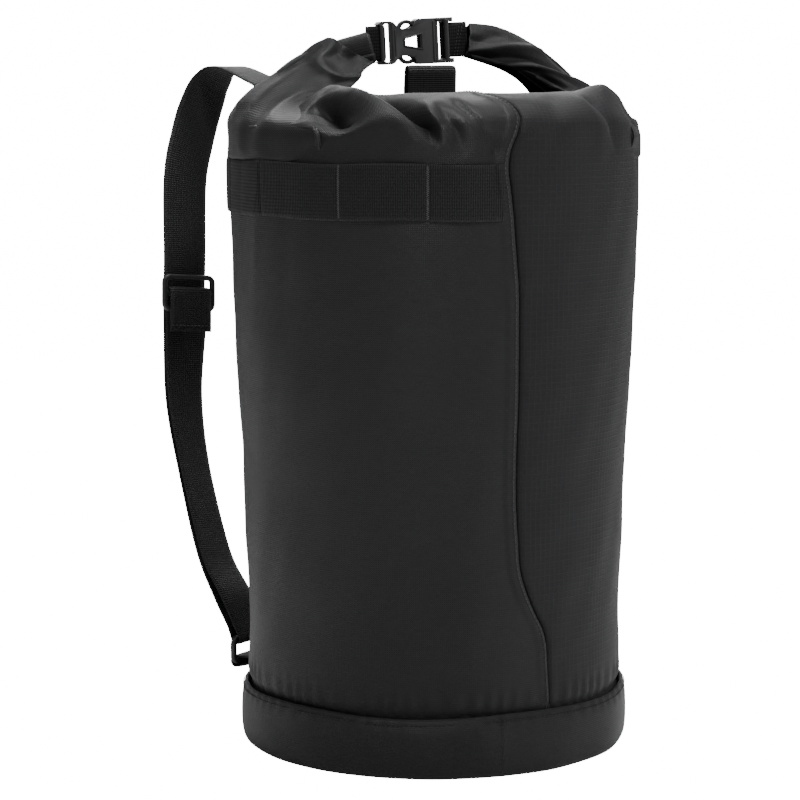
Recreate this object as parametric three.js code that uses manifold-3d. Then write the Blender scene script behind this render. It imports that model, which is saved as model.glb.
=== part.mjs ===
// Roll-top rope storage bag with two webbing shoulder straps.
// Millimetres, +Z up, the bag's front towards -Y, its left side towards -X.
// The origin is the middle of the underside of the base.
import * as THREE from 'three';
import { mergeVertices } from 'three/addons/utils/BufferGeometryUtils.js';
import Module from 'manifold-3d';

const wasm = await Module();
wasm.setup();

// ---- driving dimensions -------------------------------------------------
const FABRIC = 1.6;                 // coated fabric with its lining
const WEBBING = 1.8;                // webbing thickness
const STRAP_WIDTH = 38;             // shoulder straps, daisy chain and hang loop
const CLOSURE_WIDTH = 25;           // webbing of the closure buckle
const GAP = 0.3;                    // clearance between pieces that touch

const BASE_RADIUS = 141.8;          // widest point of the base band
const BASE_TOP = 44;                // upper edge of the base band
const BASE_PANEL_RADIUS = 129.5;
const STIFFENER_RADIUS = 128;
const SHOULDER_HEIGHT = 450;        // where the body turns in towards the mouth

const SIDE_CROWN = 2;               // how far the top swells above a straight line
const FRONT_CROWN = 34;             // and what the front and the back add to that
const BACK_CROWN = 26;
const SEAM_ANGLE = 125;             // side seams, in degrees either side of the front
const SEAM_GAP = 0.2;               // degrees left open along each seam
const TAPE_HALF_ANGLE = 2.6;        // half the width of the tape inside a seam, in degrees
const LEFT_COLUMNS = 21;            // facets across each panel
const RIGHT_COLUMNS = 22;
const BACK_COLUMNS = 15;

const MOUTH_Y = 15;                 // vertical plane in which the mouth is folded
const MOUTH_BAND = 12.5;            // half the height of the rolled mouth
const MOUTH_THICK = 6.5;            // half its thickness
const MOUTH_WALL = 2.5;
const MOUTH_EDGE_Z = 416;           // where the body panels enter the roll
const MOUTH_EDGE_HALF = 133;        // half the width of the panels there
const MOUTH_FOLD = 4;               // half the distance between front and back panel edges
const MOUTH_FOLD_ANGLE = 6;         // degrees over which the mouth's end is folded
const EAR_CLEARANCE = 2.7;          // between the roll and the ear over it
const EAR_SECTIONS = 9;
const EAR_ROOT_Z = 453.5;

const CHAIN_BOTTOM = 386;           // daisy chain webbing
const CHAIN_TOP = CHAIN_BOTTOM + STRAP_WIDTH;

const BUCKLE_X = 5;                 // mouth plane of the closure buckle
const BUCKLE_Z = 507.3;
const BUCKLE_TILT = THREE.MathUtils.degToRad(-3);
const BUCKLE_DEPTH = 10;
const BUCKLE_HALF = 16.3;           // half its width
const FEMALE_LENGTH = 43;
const MALE_LENGTH = 13.7;
const PRONG_DEPTH = 5;
const TAB_FOLD = 4.1;               // radius of the webbing round a buckle bar

const LOOP_X = 28;                  // hang loop
const LOOP_Y = 85;
const LOOP_TOP = 489;
const LOOP_HALF_GAP = 4.6;
const LOOP_ROOT = 466;              // its pivot line, just above the patch

const SLIDER_LENGTH = 48;
const SLIDER_HEIGHT = 29;
const SLIDER_DEPTH = 4;
const SLIDER_SLOT = 40;
const SLIDER_AT = 313;              // height of the slider on the strap
const SLIDER_OFFSET = 6.2;          // slider plane, measured from the main strap
const RETURN_OFFSET = 2.9;          // returning layer, measured from the main strap

const RING_LENGTH = 46;
const RING_HEIGHT = 22;
const RING_BAR = 4.4;
const RING_CENTRE = [-108, 114, 50];
const RING_ANGLE = 38;              // degrees its long side is turned from +X
const RING_FOLD = 4.4;              // radius of the webbing round a ring bar

// Body radius by height, and the front seam's angle by height.
const RADIUS_BY_HEIGHT = [
  [38, 136.2], [60, 135.8], [98, 134.8], [120, 136], [144, 137.4], [200, 138],
  [266, 142.5], [333, 144.5], [388, 146.8], [427, 147.2], [450, 146.5],
];
const FRONT_SEAM_BY_HEIGHT = [
  [38, 16.5], [60, 16.5], [98, 15.5], [120, 9.5], [144, 5.6], [200, 4.2],
  [266, 4], [333, 3.7], [388, 1.7], [427, -0.3], [450, 3.5],
];
const FRONT_SEAM_ON_TOP = -6;       // where the front seam meets the mouth
const TOP_STEPS = [0.12, 0.26, 0.4, 0.55, 0.7, 0.85, 1];

// Middle line of the rolled mouth in its vertical plane, from its left end to its right.
const MOUTH_LINE = [
  [-43, 503], [-70.5, 496], [-90, 488], [-110, 474], [-123, 457], [-117, 440], [-98, 433],
  [-50, 433], [0, 433], [50, 433],
  [96, 433], [114, 440], [119, 456], [106, 471.5], [86, 486], [66, 498.5], [37, 507],
];
const RIGHT_ARM_START = 0.665;      // share of the mouth's length left of the right arm

// Middle line of the left shoulder strap and the turn of its width, from the top down.
const STRAP_LINE = [
  [-31, 163, 451, 4], [-42, 174, 459, 10], [-73, 192, 478, 30], [-92, 216, 488, 33],
  [-103, 225, 477, 22], [-113, 225, 456, 15], [-121, 221, 432, 14], [-128, 215, 400, 15],
  [-132, 206, 330, 18], [-134, 201, 290, 20], [-138, 193, 235, 32], [-136, 175, 183, 41],
  [-129, 147, 123, 41], [-121, 128, 90, 39], [-113, 119, 68, 38],
];
// The right strap's upper bend hangs slacker than the left one's.
const RIGHT_STRAP_TOP = [
  [-31, 163, 451, 4], [-42, 176, 455, 10], [-73, 194, 458, 30], [-92, 212, 456, 33],
  [-103, 221, 449, 22], [-113, 224, 437, 15], [-121, 220, 420, 14],
];
const STRAP_STEPS = 44;

const COLOURS = {
  heavy: { color: 0x262628, roughness: 0.72, metalness: 0 },
  ripstop: { color: 0x303033, roughness: 0.66, metalness: 0 },
  webbing: { color: 0x1c1c1d, roughness: 0.8, metalness: 0 },
  tape: { color: 0x161617, roughness: 0.85, metalness: 0 },
  plastic: { color: 0x3a3a3c, roughness: 0.45, metalness: 0 },
  board: { color: 0x101011, roughness: 0.6, metalness: 0 },
};

// ---- small tools --------------------------------------------------------
const vec = (x, y, z) => new THREE.Vector3(x, y, z);
const radians = THREE.MathUtils.degToRad;
const { lerp, clamp } = THREE.MathUtils;

/** A value read off a list of [height, value] pairs, straight between them. */
function byHeight(table, height) {
  const last = table.length - 1;
  if (height <= table[0][0]) return table[0][1];
  if (height >= table[last][0]) return table[last][1];
  const i = table.findIndex((row) => row[0] > height);
  const share = (height - table[i - 1][0]) / (table[i][0] - table[i - 1][0]);
  return lerp(table[i - 1][1], table[i][1], share);
}

/** A mesh with its own material. */
function mesh(name, geometry, look) {
  const result = new THREE.Mesh(geometry, new THREE.MeshStandardMaterial(look));
  result.name = name;
  return result;
}

/** A geometry from corner points and triangles. */
function fromTriangles(points, triangles) {
  const geometry = new THREE.BufferGeometry();
  const flat = points.flatMap((p) => [p.x, p.y, p.z]);
  geometry.setAttribute('position', new THREE.Float32BufferAttribute(flat, 3));
  geometry.setIndex(triangles.flat());
  geometry.computeVertexNormals();
  return geometry;
}

/** The two triangles of a quad. */
const quad = (a, b, c, d) => [[a, b, c], [a, c, d]];

/** A closed sheet between an outer and an inner grid of points. */
function sheet(outer, inner) {
  const rows = outer.length;
  const columns = outer[0].length;
  const inside = rows * columns;
  const at = (i, j) => i * columns + j;
  const wall = (a, b) => quad(a, b, b + inside, a + inside);
  const triangles = [];
  for (let i = 0; i < rows - 1; i += 1) {
    for (let j = 0; j < columns - 1; j += 1) {
      const [a, b, c, d] = [at(i, j), at(i + 1, j), at(i + 1, j + 1), at(i, j + 1)];
      triangles.push(...quad(a, b, c, d));
      triangles.push(...quad(a + inside, d + inside, c + inside, b + inside));
      if (j === 0) triangles.push(...wall(b, a));
      if (j === columns - 2) triangles.push(...wall(d, c));
      if (i === 0) triangles.push(...wall(a, d));
      if (i === rows - 2) triangles.push(...wall(c, b));
    }
  }
  return fromTriangles([...outer.flat(), ...inner.flat()], triangles);
}

/** A closed band of webbing: each station has a middle point and an across direction. */
function ribbon(stations, width, thickness) {
  const outer = [];
  const inner = [];
  stations.forEach((station, i) => {
    const before = stations[Math.max(i - 1, 0)].point;
    const after = stations[Math.min(i + 1, stations.length - 1)].point;
    const along = after.clone().sub(before).normalize();
    const across = station.across.clone();
    across.addScaledVector(along, -along.dot(across)).normalize();
    const normal = along.clone().cross(across);
    const edge = (side, height) => station.point.clone()
      .addScaledVector(across, side * width / 2)
      .addScaledVector(normal, height * thickness / 2);
    outer.push([edge(-1, 1), edge(1, 1)]);
    inner.push([edge(-1, -1), edge(1, -1)]);
  });
  return sheet(outer, inner);
}

/** A closed profile carried along frames with an origin, u and v directions and a scale of u. */
function sweep(profile, frames) {
  const count = profile.length;
  const points = frames.flatMap((frame) => profile.map((p) => frame.origin.clone()
    .addScaledVector(frame.u, p.x * frame.scale)
    .addScaledVector(frame.v, p.y)));
  const caps = THREE.ShapeUtils.triangulateShape(profile, []);
  const end = (frames.length - 1) * count;
  const triangles = caps.flatMap(([a, b, c]) => [[a, c, b], [a + end, b + end, c + end]]);
  for (let i = 0; i < frames.length - 1; i += 1) {
    for (let j = 0; j < count; j += 1) {
      const next = (j + 1) % count;
      const low = i * count;
      const high = low + count;
      triangles.push(...quad(low + j, low + next, high + next, high + j));
    }
  }
  return fromTriangles(points, triangles);
}

/** A manifold solid from a geometry. */
function toSolid(geometry) {
  const bare = geometry.clone();
  bare.deleteAttribute('normal');
  bare.deleteAttribute('uv');
  const merged = mergeVertices(bare);
  return new wasm.Manifold(new wasm.Mesh({
    numProp: 3,
    vertProperties: merged.attributes.position.array,
    triVerts: Uint32Array.from(merged.index.array),
  }));
}

/** A geometry from a manifold solid. */
function fromSolid(solid) {
  const result = solid.getMesh();
  const geometry = new THREE.BufferGeometry();
  geometry.setAttribute('position', new THREE.BufferAttribute(result.vertProperties, 3));
  geometry.setIndex(new THREE.BufferAttribute(result.triVerts, 1));
  geometry.computeVertexNormals();
  return geometry;
}

/** A box between two corners. */
function block(low, high) {
  const size = high.map((value, i) => value - low[i]);
  const geometry = new THREE.BoxGeometry(...size);
  geometry.translate(...high.map((value, i) => (value + low[i]) / 2));
  return geometry;
}

/** A rounded rectangle, as a shape or as a hole. */
function roundedRectangle(width, height, radius, shape = new THREE.Shape(), middle = [0, 0]) {
  const [x, y] = middle;
  const w = width / 2 - radius;
  const h = height / 2 - radius;
  shape.absarc(x + w, y + h, radius, 0, Math.PI / 2);
  shape.absarc(x - w, y + h, radius, Math.PI / 2, Math.PI);
  shape.absarc(x - w, y - h, radius, Math.PI, Math.PI * 1.5);
  shape.absarc(x + w, y - h, radius, Math.PI * 1.5, Math.PI * 2);
  shape.closePath();
  return shape;
}

/** A flat shape given a thickness, centred on its own plane. */
function plate(shape, depth, curveSegments = 4) {
  const geometry = new THREE.ExtrudeGeometry(shape, { depth, bevelEnabled: false, curveSegments });
  geometry.translate(0, 0, -depth / 2);
  return geometry;
}

// ---- the bag's surface --------------------------------------------------
const mouthCurve = new THREE.CatmullRomCurve3(MOUTH_LINE.map(([x, z]) => vec(x, MOUTH_Y, z)));
mouthCurve.arcLengthDivisions = 400;

/** Where the mouth's middle line is, and which way is out of its ring, at a share of its length. */
function mouthFrame(share) {
  const origin = mouthCurve.getPointAt(share);
  const along = mouthCurve.getTangentAt(share);
  const out = vec(along.z, 0, -along.x).normalize();
  return { origin, out, along };
}

/** The edge of the body fabric where it enters the rolled mouth, at an angle round the bag. */
function mouthEdge(angle) {
  const turned = ((angle + 540) % 360) - 180;
  const side = Math.sign(turned) || 1;
  const fold = clamp((Math.abs(turned) - 90) / MOUTH_FOLD_ANGLE, -1, 1) * Math.PI / 2;
  const reach = Math.abs(turned) <= 90 ? Math.abs(turned) : 180 - Math.abs(turned);
  const along = Math.min(reach / (90 - MOUTH_FOLD_ANGLE), 1) * MOUTH_EDGE_HALF;
  const past = Math.cos(fold) * MOUTH_FOLD;
  return vec(side * (along + past), MOUTH_Y + MOUTH_FOLD * Math.sin(fold), MOUTH_EDGE_Z);
}

/** A point of the bag's outer wall: height up to the shoulder, then a share of the way in. */
function wallPoint(angle, height, top) {
  const turn = radians(angle);
  const radius = byHeight(RADIUS_BY_HEIGHT, height);
  const rim = vec(radius * Math.sin(turn), -radius * Math.cos(turn), height);
  if (top <= 0) return rim;
  const edge = mouthEdge(angle);
  const face = Math.cos(turn);
  const inward = top ** (1 + 0.5 * face * face);
  const crown = SIDE_CROWN + (face > 0 ? FRONT_CROWN : BACK_CROWN) * face ** 4;
  return vec(
    lerp(rim.x, edge.x, inward),
    lerp(rim.y, edge.y, inward),
    lerp(rim.z, edge.z, top) + crown * Math.sin(Math.PI * top),
  );
}

/** The outward direction of the bag's wall. */
function wallNormal(angle, height, top) {
  const step = 0.4;
  const round = wallPoint(angle + step, height, top).sub(wallPoint(angle - step, height, top));
  const low = top > 0
    ? wallPoint(angle, height, Math.max(top - 0.02, 0.001))
    : wallPoint(angle, height - 1, 0);
  const high = top > 0 ? wallPoint(angle, height, Math.min(top + 0.02, 1)) : wallPoint(angle, height, 0);
  return round.cross(high.sub(low)).normalize();
}

/** The rows of a panel: heights up to the shoulder, then steps in to the mouth. */
const WALL_ROWS = [
  ...RADIUS_BY_HEIGHT.map(([height]) => ({ height, top: 0 })),
  ...TOP_STEPS.map((top) => ({ height: SHOULDER_HEIGHT, top })),
];

/** The front seam's angle on one row. */
function frontSeam(row) {
  const body = byHeight(FRONT_SEAM_BY_HEIGHT, row.height);
  return lerp(body, FRONT_SEAM_ON_TOP, row.top);
}

/** A grid moved inwards along its own normals, for the inner face of a sheet. */
function inset(grid, depth) {
  const rows = grid.length;
  const columns = grid[0].length;
  return grid.map((line, i) => line.map((point, j) => {
    const low = Math.max(i - 1, 0);
    const high = Math.min(i + 1, rows - 1);
    const first = grid[high][j].clone().sub(grid[low][j]);
    const left = Math.max(j - 1, 0);
    const right = Math.min(j + 1, columns - 1);
    const second = line[right].clone().sub(line[left]);
    return point.clone().addScaledVector(first.cross(second).normalize(), -depth);
  }));
}

/** A panel of the wall between angles that may change from row to row. */
function wallPanel(rows, anglesOfRow) {
  const grid = (depth) => {
    const lines = rows.map((row) => anglesOfRow(row).map((angle) => (
      wallPoint(angle, row.height, row.top)
        .addScaledVector(wallNormal(angle, row.height, row.top), -depth)
    )));
    return lines[0].map((unused, column) => lines.map((line) => line[column]));
  };
  return sheet(grid(0), grid(FABRIC));
}

/** Evenly spaced values from low to high. */
const spread = (low, high, steps) => (
  Array.from({ length: steps + 1 }, (unused, i) => lerp(low, high, i / steps))
);

function frontLeftPanel() {
  const angles = (row) => spread(-SEAM_ANGLE + SEAM_GAP, frontSeam(row) - SEAM_GAP, LEFT_COLUMNS);
  return mesh('front_left_panel', wallPanel(WALL_ROWS, angles), COLOURS.heavy);
}

function frontRightPanel() {
  const angles = (row) => spread(frontSeam(row) + SEAM_GAP, SEAM_ANGLE - SEAM_GAP, RIGHT_COLUMNS);
  return mesh('front_right_panel', wallPanel(WALL_ROWS, angles), COLOURS.ripstop);
}

function backPanel() {
  const angles = () => spread(SEAM_ANGLE + SEAM_GAP, 360 - SEAM_ANGLE - SEAM_GAP, BACK_COLUMNS);
  return mesh('back_panel', wallPanel(WALL_ROWS, angles), COLOURS.heavy);
}

/** A strip of tape on the inside of the wall, along a seam. */
function seamTape(name, seamOfRow) {
  const rows = WALL_ROWS.filter((row) => row.height >= 60 && row.height < SHOULDER_HEIGHT);
  const line = (depth) => rows.map((row) => [-TAPE_HALF_ANGLE, 0, TAPE_HALF_ANGLE].map((offset) => {
    const turn = radians(seamOfRow(row) + offset);
    const radius = byHeight(RADIUS_BY_HEIGHT, row.height) - FABRIC - depth;
    return vec(radius * Math.sin(turn), -radius * Math.cos(turn), row.height);
  }));
  const flip = (grid) => grid[0].map((unused, column) => grid.map((points) => points[column]));
  return mesh(name, sheet(flip(line(1)), flip(line(2))), COLOURS.tape);
}

// ---- the base -----------------------------------------------------------
function disc(name, radius, low, high, look) {
  const profile = [[0, low], [radius, low], [radius, high], [0, high]];
  const geometry = new THREE.LatheGeometry(profile.map(([r, z]) => new THREE.Vector2(r, z)), 64);
  geometry.rotateX(Math.PI / 2);
  return mesh(name, geometry, look);
}

/** A ring turned about the bag's axis from a closed profile. */
function turnedRing(name, profile, look) {
  const closed = [...profile, profile[0]];
  const geometry = new THREE.LatheGeometry(closed.map(([r, z]) => new THREE.Vector2(r, z)), 64);
  geometry.rotateX(Math.PI / 2);
  return mesh(name, geometry, look);
}

function baseBand() {
  const inside = BASE_RADIUS - 2;
  return turnedRing('base_band', [
    [130, 0], [135.5, 0.4], [139.2, 3], [141, 8], [BASE_RADIUS, 14], [BASE_RADIUS, 32],
    [139.4, BASE_TOP], [137.4, BASE_TOP], [inside, 32], [inside, 14.5], [139, 8.8],
    [137.4, 4.7], [134.8, 2.5], [130, 2],
  ], COLOURS.heavy);
}

function baseSeamBinding() {
  return turnedRing('base_seam_binding', [[132.4, 36], [133.9, 36], [133.9, 52], [132.4, 52]],
    COLOURS.tape);
}

// ---- webbing and patches on the wall ------------------------------------
/** A band that lies on the wall between two heights and two angles. */
function wallBand(name, heights, angles, lift, thickness, look) {
  const grid = (radiusOffset) => angles.map((angle) => heights.map((height) => {
    const turn = radians(angle);
    const radius = byHeight(RADIUS_BY_HEIGHT, height) + radiusOffset;
    return vec(radius * Math.sin(turn), -radius * Math.cos(turn), height);
  }));
  return mesh(name, sheet(grid(lift + thickness), grid(lift)), look);
}

function daisyChain() {
  const heights = [CHAIN_BOTTOM, 388, CHAIN_TOP];
  return wallBand('daisy_chain', heights, spread(-SEAM_ANGLE + 1, 0, 24), 0.8, WEBBING,
    COLOURS.webbing);
}

function backYoke() {
  return wallBand('back_yoke', [396, 427, 442], spread(156, 204, 10), 0.7, 1.5, COLOURS.heavy);
}

// ---- the rolled mouth ---------------------------------------------------
/** The rolled mouth's section: a flattened roll, open where the body fabric enters. */
function mouthSection() {
  const flattened = (half, thick, angle) => {
    const power = (value) => Math.sign(value) * Math.abs(value) ** 0.7;
    return new THREE.Vector2(half * power(Math.cos(angle)), thick * power(Math.sin(angle)));
  };
  const angles = spread(radians(6), radians(354), 13);
  const outer = angles.map((angle) => flattened(MOUTH_BAND, MOUTH_THICK, angle));
  const inner = angles.map((angle) => (
    flattened(MOUTH_BAND - MOUTH_WALL, MOUTH_THICK - MOUTH_WALL, angle)
  ));
  return [...outer, ...inner.reverse()];
}

/** The rolled mouth between two shares of its length; it is lower where it bends. */
function mouthRoll(name, from, to, steps, look) {
  const frames = spread(from, to, steps).map((share) => {
    const { origin, out, along } = mouthFrame(share);
    const bend = Math.exp(-(((Math.abs(share - 0.5) - 0.245) / 0.06) ** 2));
    return { origin, u: out, v: along.clone().cross(out), scale: 1 - 0.25 * bend };
  });
  return mesh(name, sweep(mouthSection(), frames), look);
}

/** An ear: fabric like a tent over one arm of the roll, spreading down to the shoulder. */
function mouthEar(name, side, tipShare, rootShare, look) {
  const high = MOUTH_BAND + EAR_CLEARANCE;
  const wide = MOUTH_THICK + EAR_CLEARANCE;
  const grid = spread(0, 1, EAR_SECTIONS).map((along) => {
    const { origin, out } = mouthFrame(lerp(tipShare, rootShare, Math.min(along * 1.12, 1)));
    const section = [
      [-high, -wide, -119, -84, 1.7], [-high / 2, -wide, -131, -52, 2.2],
      [high / 2, -wide, -139, -22, 4], [high + 1, -3, -144, 0, 12],
      [high + 1, 3, -144, 12, 12], [high / 2, wide, -139, 34, 4],
      [-high / 2, wide, -131, 58, 2.2], [-high, wide, -119, 84, 1.7],
    ];
    return section.map(([outward, y, rootX, rootY, late]) => {
      const snug = origin.clone().addScaledVector(out, outward);
      snug.y = MOUTH_Y + y;
      return snug.lerp(vec(-side * rootX, rootY, EAR_ROOT_Z), along ** late);
    });
  });
  const outer = side < 0 ? grid.map((line) => [...line].reverse()) : grid;
  return mesh(name, sheet(outer, inset(outer, FABRIC)), look);
}

function mouthStiffener() {
  const stations = spread(-88, 88, 4).map((x) => (
    { point: vec(x, MOUTH_Y, 433), across: vec(0, 0, 1) }
  ));
  return mesh('mouth_stiffener', ribbon(stations, 13, 1.5), COLOURS.board);
}

// ---- the closure buckle, in its own frame: +X from the socket to the plug --
/** The mirror image of outline points below the middle line, in the order that closes it. */
const mirrored = (points) => [...points, ...points.map(([x, z]) => [x, -z]).reverse()];

function polygon(points) {
  return new THREE.Shape(points.map(([x, z]) => new THREE.Vector2(x, z)));
}

/** Turns a plate drawn in X and Y so that it stands in X and Z. */
function upright(geometry) {
  geometry.rotateX(Math.PI / 2);
  return geometry;
}

/** Thins a buckle's bar between two places, so that webbing can be folded round it. */
function thinBar(body, from, to) {
  const front = toSolid(block([from, -BUCKLE_DEPTH, -13], [to, -1.7, 13]));
  const back = toSolid(block([from, 1.7, -13], [to, BUCKLE_DEPTH, 13]));
  return body.subtract(front).subtract(back);
}

function buckleFemale() {
  const outline = polygon(mirrored([
    [0, BUCKLE_HALF], [-12.5, BUCKLE_HALF], [-14.5, 15], [-16.5, 11.2], [-20, 9.6], [-25, 9.6],
    [-28.5, 11.2], [-31.5, 14.6], [-34, 15.4], [-41, 15.4], [-FEMALE_LENGTH, 13.5],
  ]));
  outline.holes.push(roundedRectangle(6, 27.4, 0.8, new THREE.Path(), [-35.5, 0]));
  outline.holes.push(new THREE.Path([[-11, -4.8], [-11, 4.8], [-23, 2.2], [-23, -2.2]]
    .map(([x, z]) => new THREE.Vector2(x, z))));
  const body = toSolid(upright(plate(outline, BUCKLE_DEPTH)));
  const cavity = toSolid(block([-28, -3.2, -14.4], [1, 3.2, 14.4]));
  const hollow = thinBar(body, -FEMALE_LENGTH - 1, -38.5).subtract(cavity);
  return mesh('buckle_female', fromSolid(hollow), COLOURS.plastic);
}

function buckleMale() {
  const outline = polygon(mirrored([
    [10.3, 13], [MALE_LENGTH, 13], [MALE_LENGTH, BUCKLE_HALF], [GAP, BUCKLE_HALF],
  ]));
  outline.holes.push(roundedRectangle(4.2, 27.4, 0.8, new THREE.Path(), [4.2, 0]));
  const body = thinBar(toSolid(upright(plate(outline, BUCKLE_DEPTH))), 6.3, MALE_LENGTH);
  const tongue = toSolid(block([-9, -2.4, -3], [1, 2.4, 3]));
  return mesh('buckle_male', fromSolid(body.add(tongue)), COLOURS.plastic);
}

/** A flexing prong: a bowed arm that shows through the side of the socket. */
function buckleProng(name, side) {
  const middle = new THREE.CatmullRomCurve3([
    vec(-0.1, 8, 0), vec(-7, 8.6, 0), vec(-13, 9.8, 0), vec(-17, 13.6, 0),
    vec(-21, 14.6, 0), vec(-25, 12.6, 0), vec(-26.8, 9, 0),
  ]);
  const samples = spread(0, 1, 14);
  const edge = (offset) => samples.map((share) => {
    const point = middle.getPointAt(share);
    const tangent = middle.getTangentAt(share);
    return new THREE.Vector2(point.x - tangent.y * offset, side * (point.y + tangent.x * offset));
  });
  const shape = new THREE.Shape([...edge(1.3), ...edge(-1.3).reverse()]);
  return mesh(name, upright(plate(shape, PRONG_DEPTH)), COLOURS.plastic);
}

/** The webbing folded round a buckle bar, from the roll's end and back. */
function buckleTab(name, barX, endX, heading) {
  const across = vec(0, 0, 1);
  const arc = spread(-90, 90, 8).map((angle) => ({
    point: vec(
      barX + heading * TAB_FOLD * Math.cos(radians(angle)),
      TAB_FOLD * Math.sin(radians(angle)),
      0,
    ),
    across,
  }));
  const start = { point: vec(endX, -1.3, 0), across };
  const end = { point: vec(endX, 1.3, 0), across };
  return mesh(name, ribbon([start, ...arc, end], CLOSURE_WIDTH, WEBBING), COLOURS.webbing);
}

function closureBuckle() {
  const buckle = new THREE.Group();
  buckle.position.set(BUCKLE_X, MOUTH_Y, BUCKLE_Z);
  buckle.rotation.y = BUCKLE_TILT;
  buckle.add(
    buckleFemale(),
    buckleMale(),
    buckleProng('buckle_upper_prong', 1),
    buckleProng('buckle_lower_prong', -1),
    buckleTab('left_buckle_tab', -40.75, -49, 1),
    buckleTab('right_buckle_tab', 8.3, 27, -1),
  );
  return buckle;
}

// ---- the hang loop ------------------------------------------------------
function hangLoop() {
  const across = vec(1, 0, 0);
  const radius = LOOP_HALF_GAP;
  const arc = spread(180, 0, 8).map((angle) => ({
    point: vec(
      LOOP_X,
      LOOP_Y + radius * Math.cos(radians(angle)),
      LOOP_TOP - radius + radius * Math.sin(radians(angle)),
    ),
    across,
  }));
  const foot = (side) => ({ point: vec(LOOP_X, LOOP_Y + side * radius, LOOP_ROOT), across });
  return mesh('hang_loop', ribbon([foot(-1), ...arc, foot(1)], STRAP_WIDTH, WEBBING),
    COLOURS.webbing);
}

/** The sewn foot of the hang loop, a flat patch on the shoulder. */
function hangLoopPatch() {
  const half = STRAP_WIDTH / 2 + 3;
  const ys = [LOOP_Y - 11, LOOP_Y, LOOP_Y + 11];
  const xs = [LOOP_X - half, LOOP_X, LOOP_X + half];
  const grid = (height) => xs.map((x) => ys.map((y) => vec(x, y, shoulderHeight(x, y) + height)));
  return mesh('hang_loop_patch', sheet(grid(2.4), grid(0.9)), COLOURS.webbing);
}

/** The height of the back shoulder over a point, found along its own angle. */
function shoulderHeight(x, y) {
  let best = wallPoint(180, SHOULDER_HEIGHT, 0);
  let bestDistance = Infinity;
  for (let angle = 120; angle <= 240; angle += 1) {
    for (let top = 0.05; top < 1; top += 0.01) {
      const point = wallPoint(angle, SHOULDER_HEIGHT, top);
      const distance = Math.hypot(point.x - x, point.y - y);
      if (distance < bestDistance) {
        bestDistance = distance;
        best = point;
      }
    }
  }
  return best.z;
}

// ---- the shoulder straps ------------------------------------------------
/** The middle line of a strap and the turn of its width, for the left or the right side. */
function strapSide(side) {
  const flip = side === 'left' ? 1 : -1;
  const top = side === 'left' ? [] : RIGHT_STRAP_TOP;
  const table = [...top, ...STRAP_LINE.slice(top.length)];
  const line = new THREE.CatmullRomCurve3(table.map(([x, y, z]) => vec(flip * x, y, z)));
  const turns = table.map(([, , , turn], i) => [i / (table.length - 1), turn]);
  const across = (turn) => vec(Math.cos(radians(turn)), flip * Math.sin(radians(turn)), 0);
  const station = (share) => {
    const along = line.getTangent(share);
    const width = across(byHeight(turns, share));
    width.addScaledVector(along, -along.dot(width)).normalize();
    return { point: line.getPoint(share), across: width, inward: along.clone().cross(width) };
  };
  return { side, flip, station, across };
}

/** A station moved towards the bag. */
function shifted(station, offset) {
  return {
    point: station.point.clone().addScaledVector(station.inward, offset),
    across: station.across,
    inward: station.inward,
  };
}

/** The share of the strap's line at a height on its hanging part. */
function shareAtHeight(strap, height) {
  let low = 0.45;
  let high = 1;
  for (let i = 0; i < 30; i += 1) {
    const middle = (low + high) / 2;
    if (strap.station(middle).point.z > height) low = middle;
    else high = middle;
  }
  return low;
}

/** Directions of the lower ring: along its long side, up, and towards the bag. */
function ringFrame(strap) {
  const centre = vec(strap.flip * RING_CENTRE[0], RING_CENTRE[1], RING_CENTRE[2]);
  const across = strap.across(RING_ANGLE);
  const up = vec(0, 0, 1);
  const inward = across.clone().cross(up).normalize();
  return { centre, across, up, inward };
}

/** Points round a bar from one side to the other, under it or over it. */
function foldRound(centre, up, inward, across, radius, from, to) {
  return spread(from, to, 6).map((angle) => ({
    point: centre.clone()
      .addScaledVector(inward, radius * Math.cos(radians(angle)))
      .addScaledVector(up, radius * Math.sin(radians(angle))),
    across,
    inward,
  }));
}

/** The strap from its top tab down to the lower ring, where it turns under the ring's bar. */
function mainStrap(strap) {
  const ring = ringFrame(strap);
  const bar = ring.centre.clone().addScaledVector(ring.up, RING_HEIGHT / 2 - RING_BAR / 2);
  const stations = spread(0, 1, STRAP_STEPS).map((share) => strap.station(share));
  const fold = foldRound(bar, ring.up, ring.inward, ring.across, RING_FOLD, -180, -90);
  return mesh(`${strap.side}_strap`, ribbon([...stations, ...fold], STRAP_WIDTH, WEBBING),
    COLOURS.webbing);
}

/** The returning layer, from under the ring's bar up to the slider and round its middle bar. */
function returnStrap(strap) {
  const ring = ringFrame(strap);
  const bar = ring.centre.clone().addScaledVector(ring.up, RING_HEIGHT / 2 - RING_BAR / 2);
  const fold = foldRound(bar, ring.up, ring.inward, ring.across, RING_FOLD, -80, 0);
  const sliderShare = shareAtHeight(strap, SLIDER_AT);
  const clear = { ...fold.at(-1), point: fold.at(-1).point.clone().addScaledVector(ring.up, 4.5) };
  const rising = spread(0.95, sliderShare, 16).map((share, i) => (
    shifted(strap.station(share), lerp(7, RETURN_OFFSET, Math.min(i / 4, 1)))
  ));
  const slider = sliderFrame(strap);
  const reach = SLIDER_OFFSET - RETURN_OFFSET;
  const over = foldRound(slider.centre, slider.up, slider.inward, slider.across, reach, 180, 0);
  const raised = over.map((station) => {
    station.point.addScaledVector(slider.up, 2);
    return station;
  });
  const tail = [0.5, 1].map((share) => ({
    point: slider.centre.clone()
      .addScaledVector(slider.inward, reach)
      .addScaledVector(slider.up, -28 * share),
    across: slider.across,
  }));
  const stations = [...fold, clear, ...rising.slice(0, -1), ...raised, ...tail];
  return mesh(`${strap.side}_strap_return`, ribbon(stations, STRAP_WIDTH, WEBBING),
    COLOURS.webbing);
}

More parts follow.
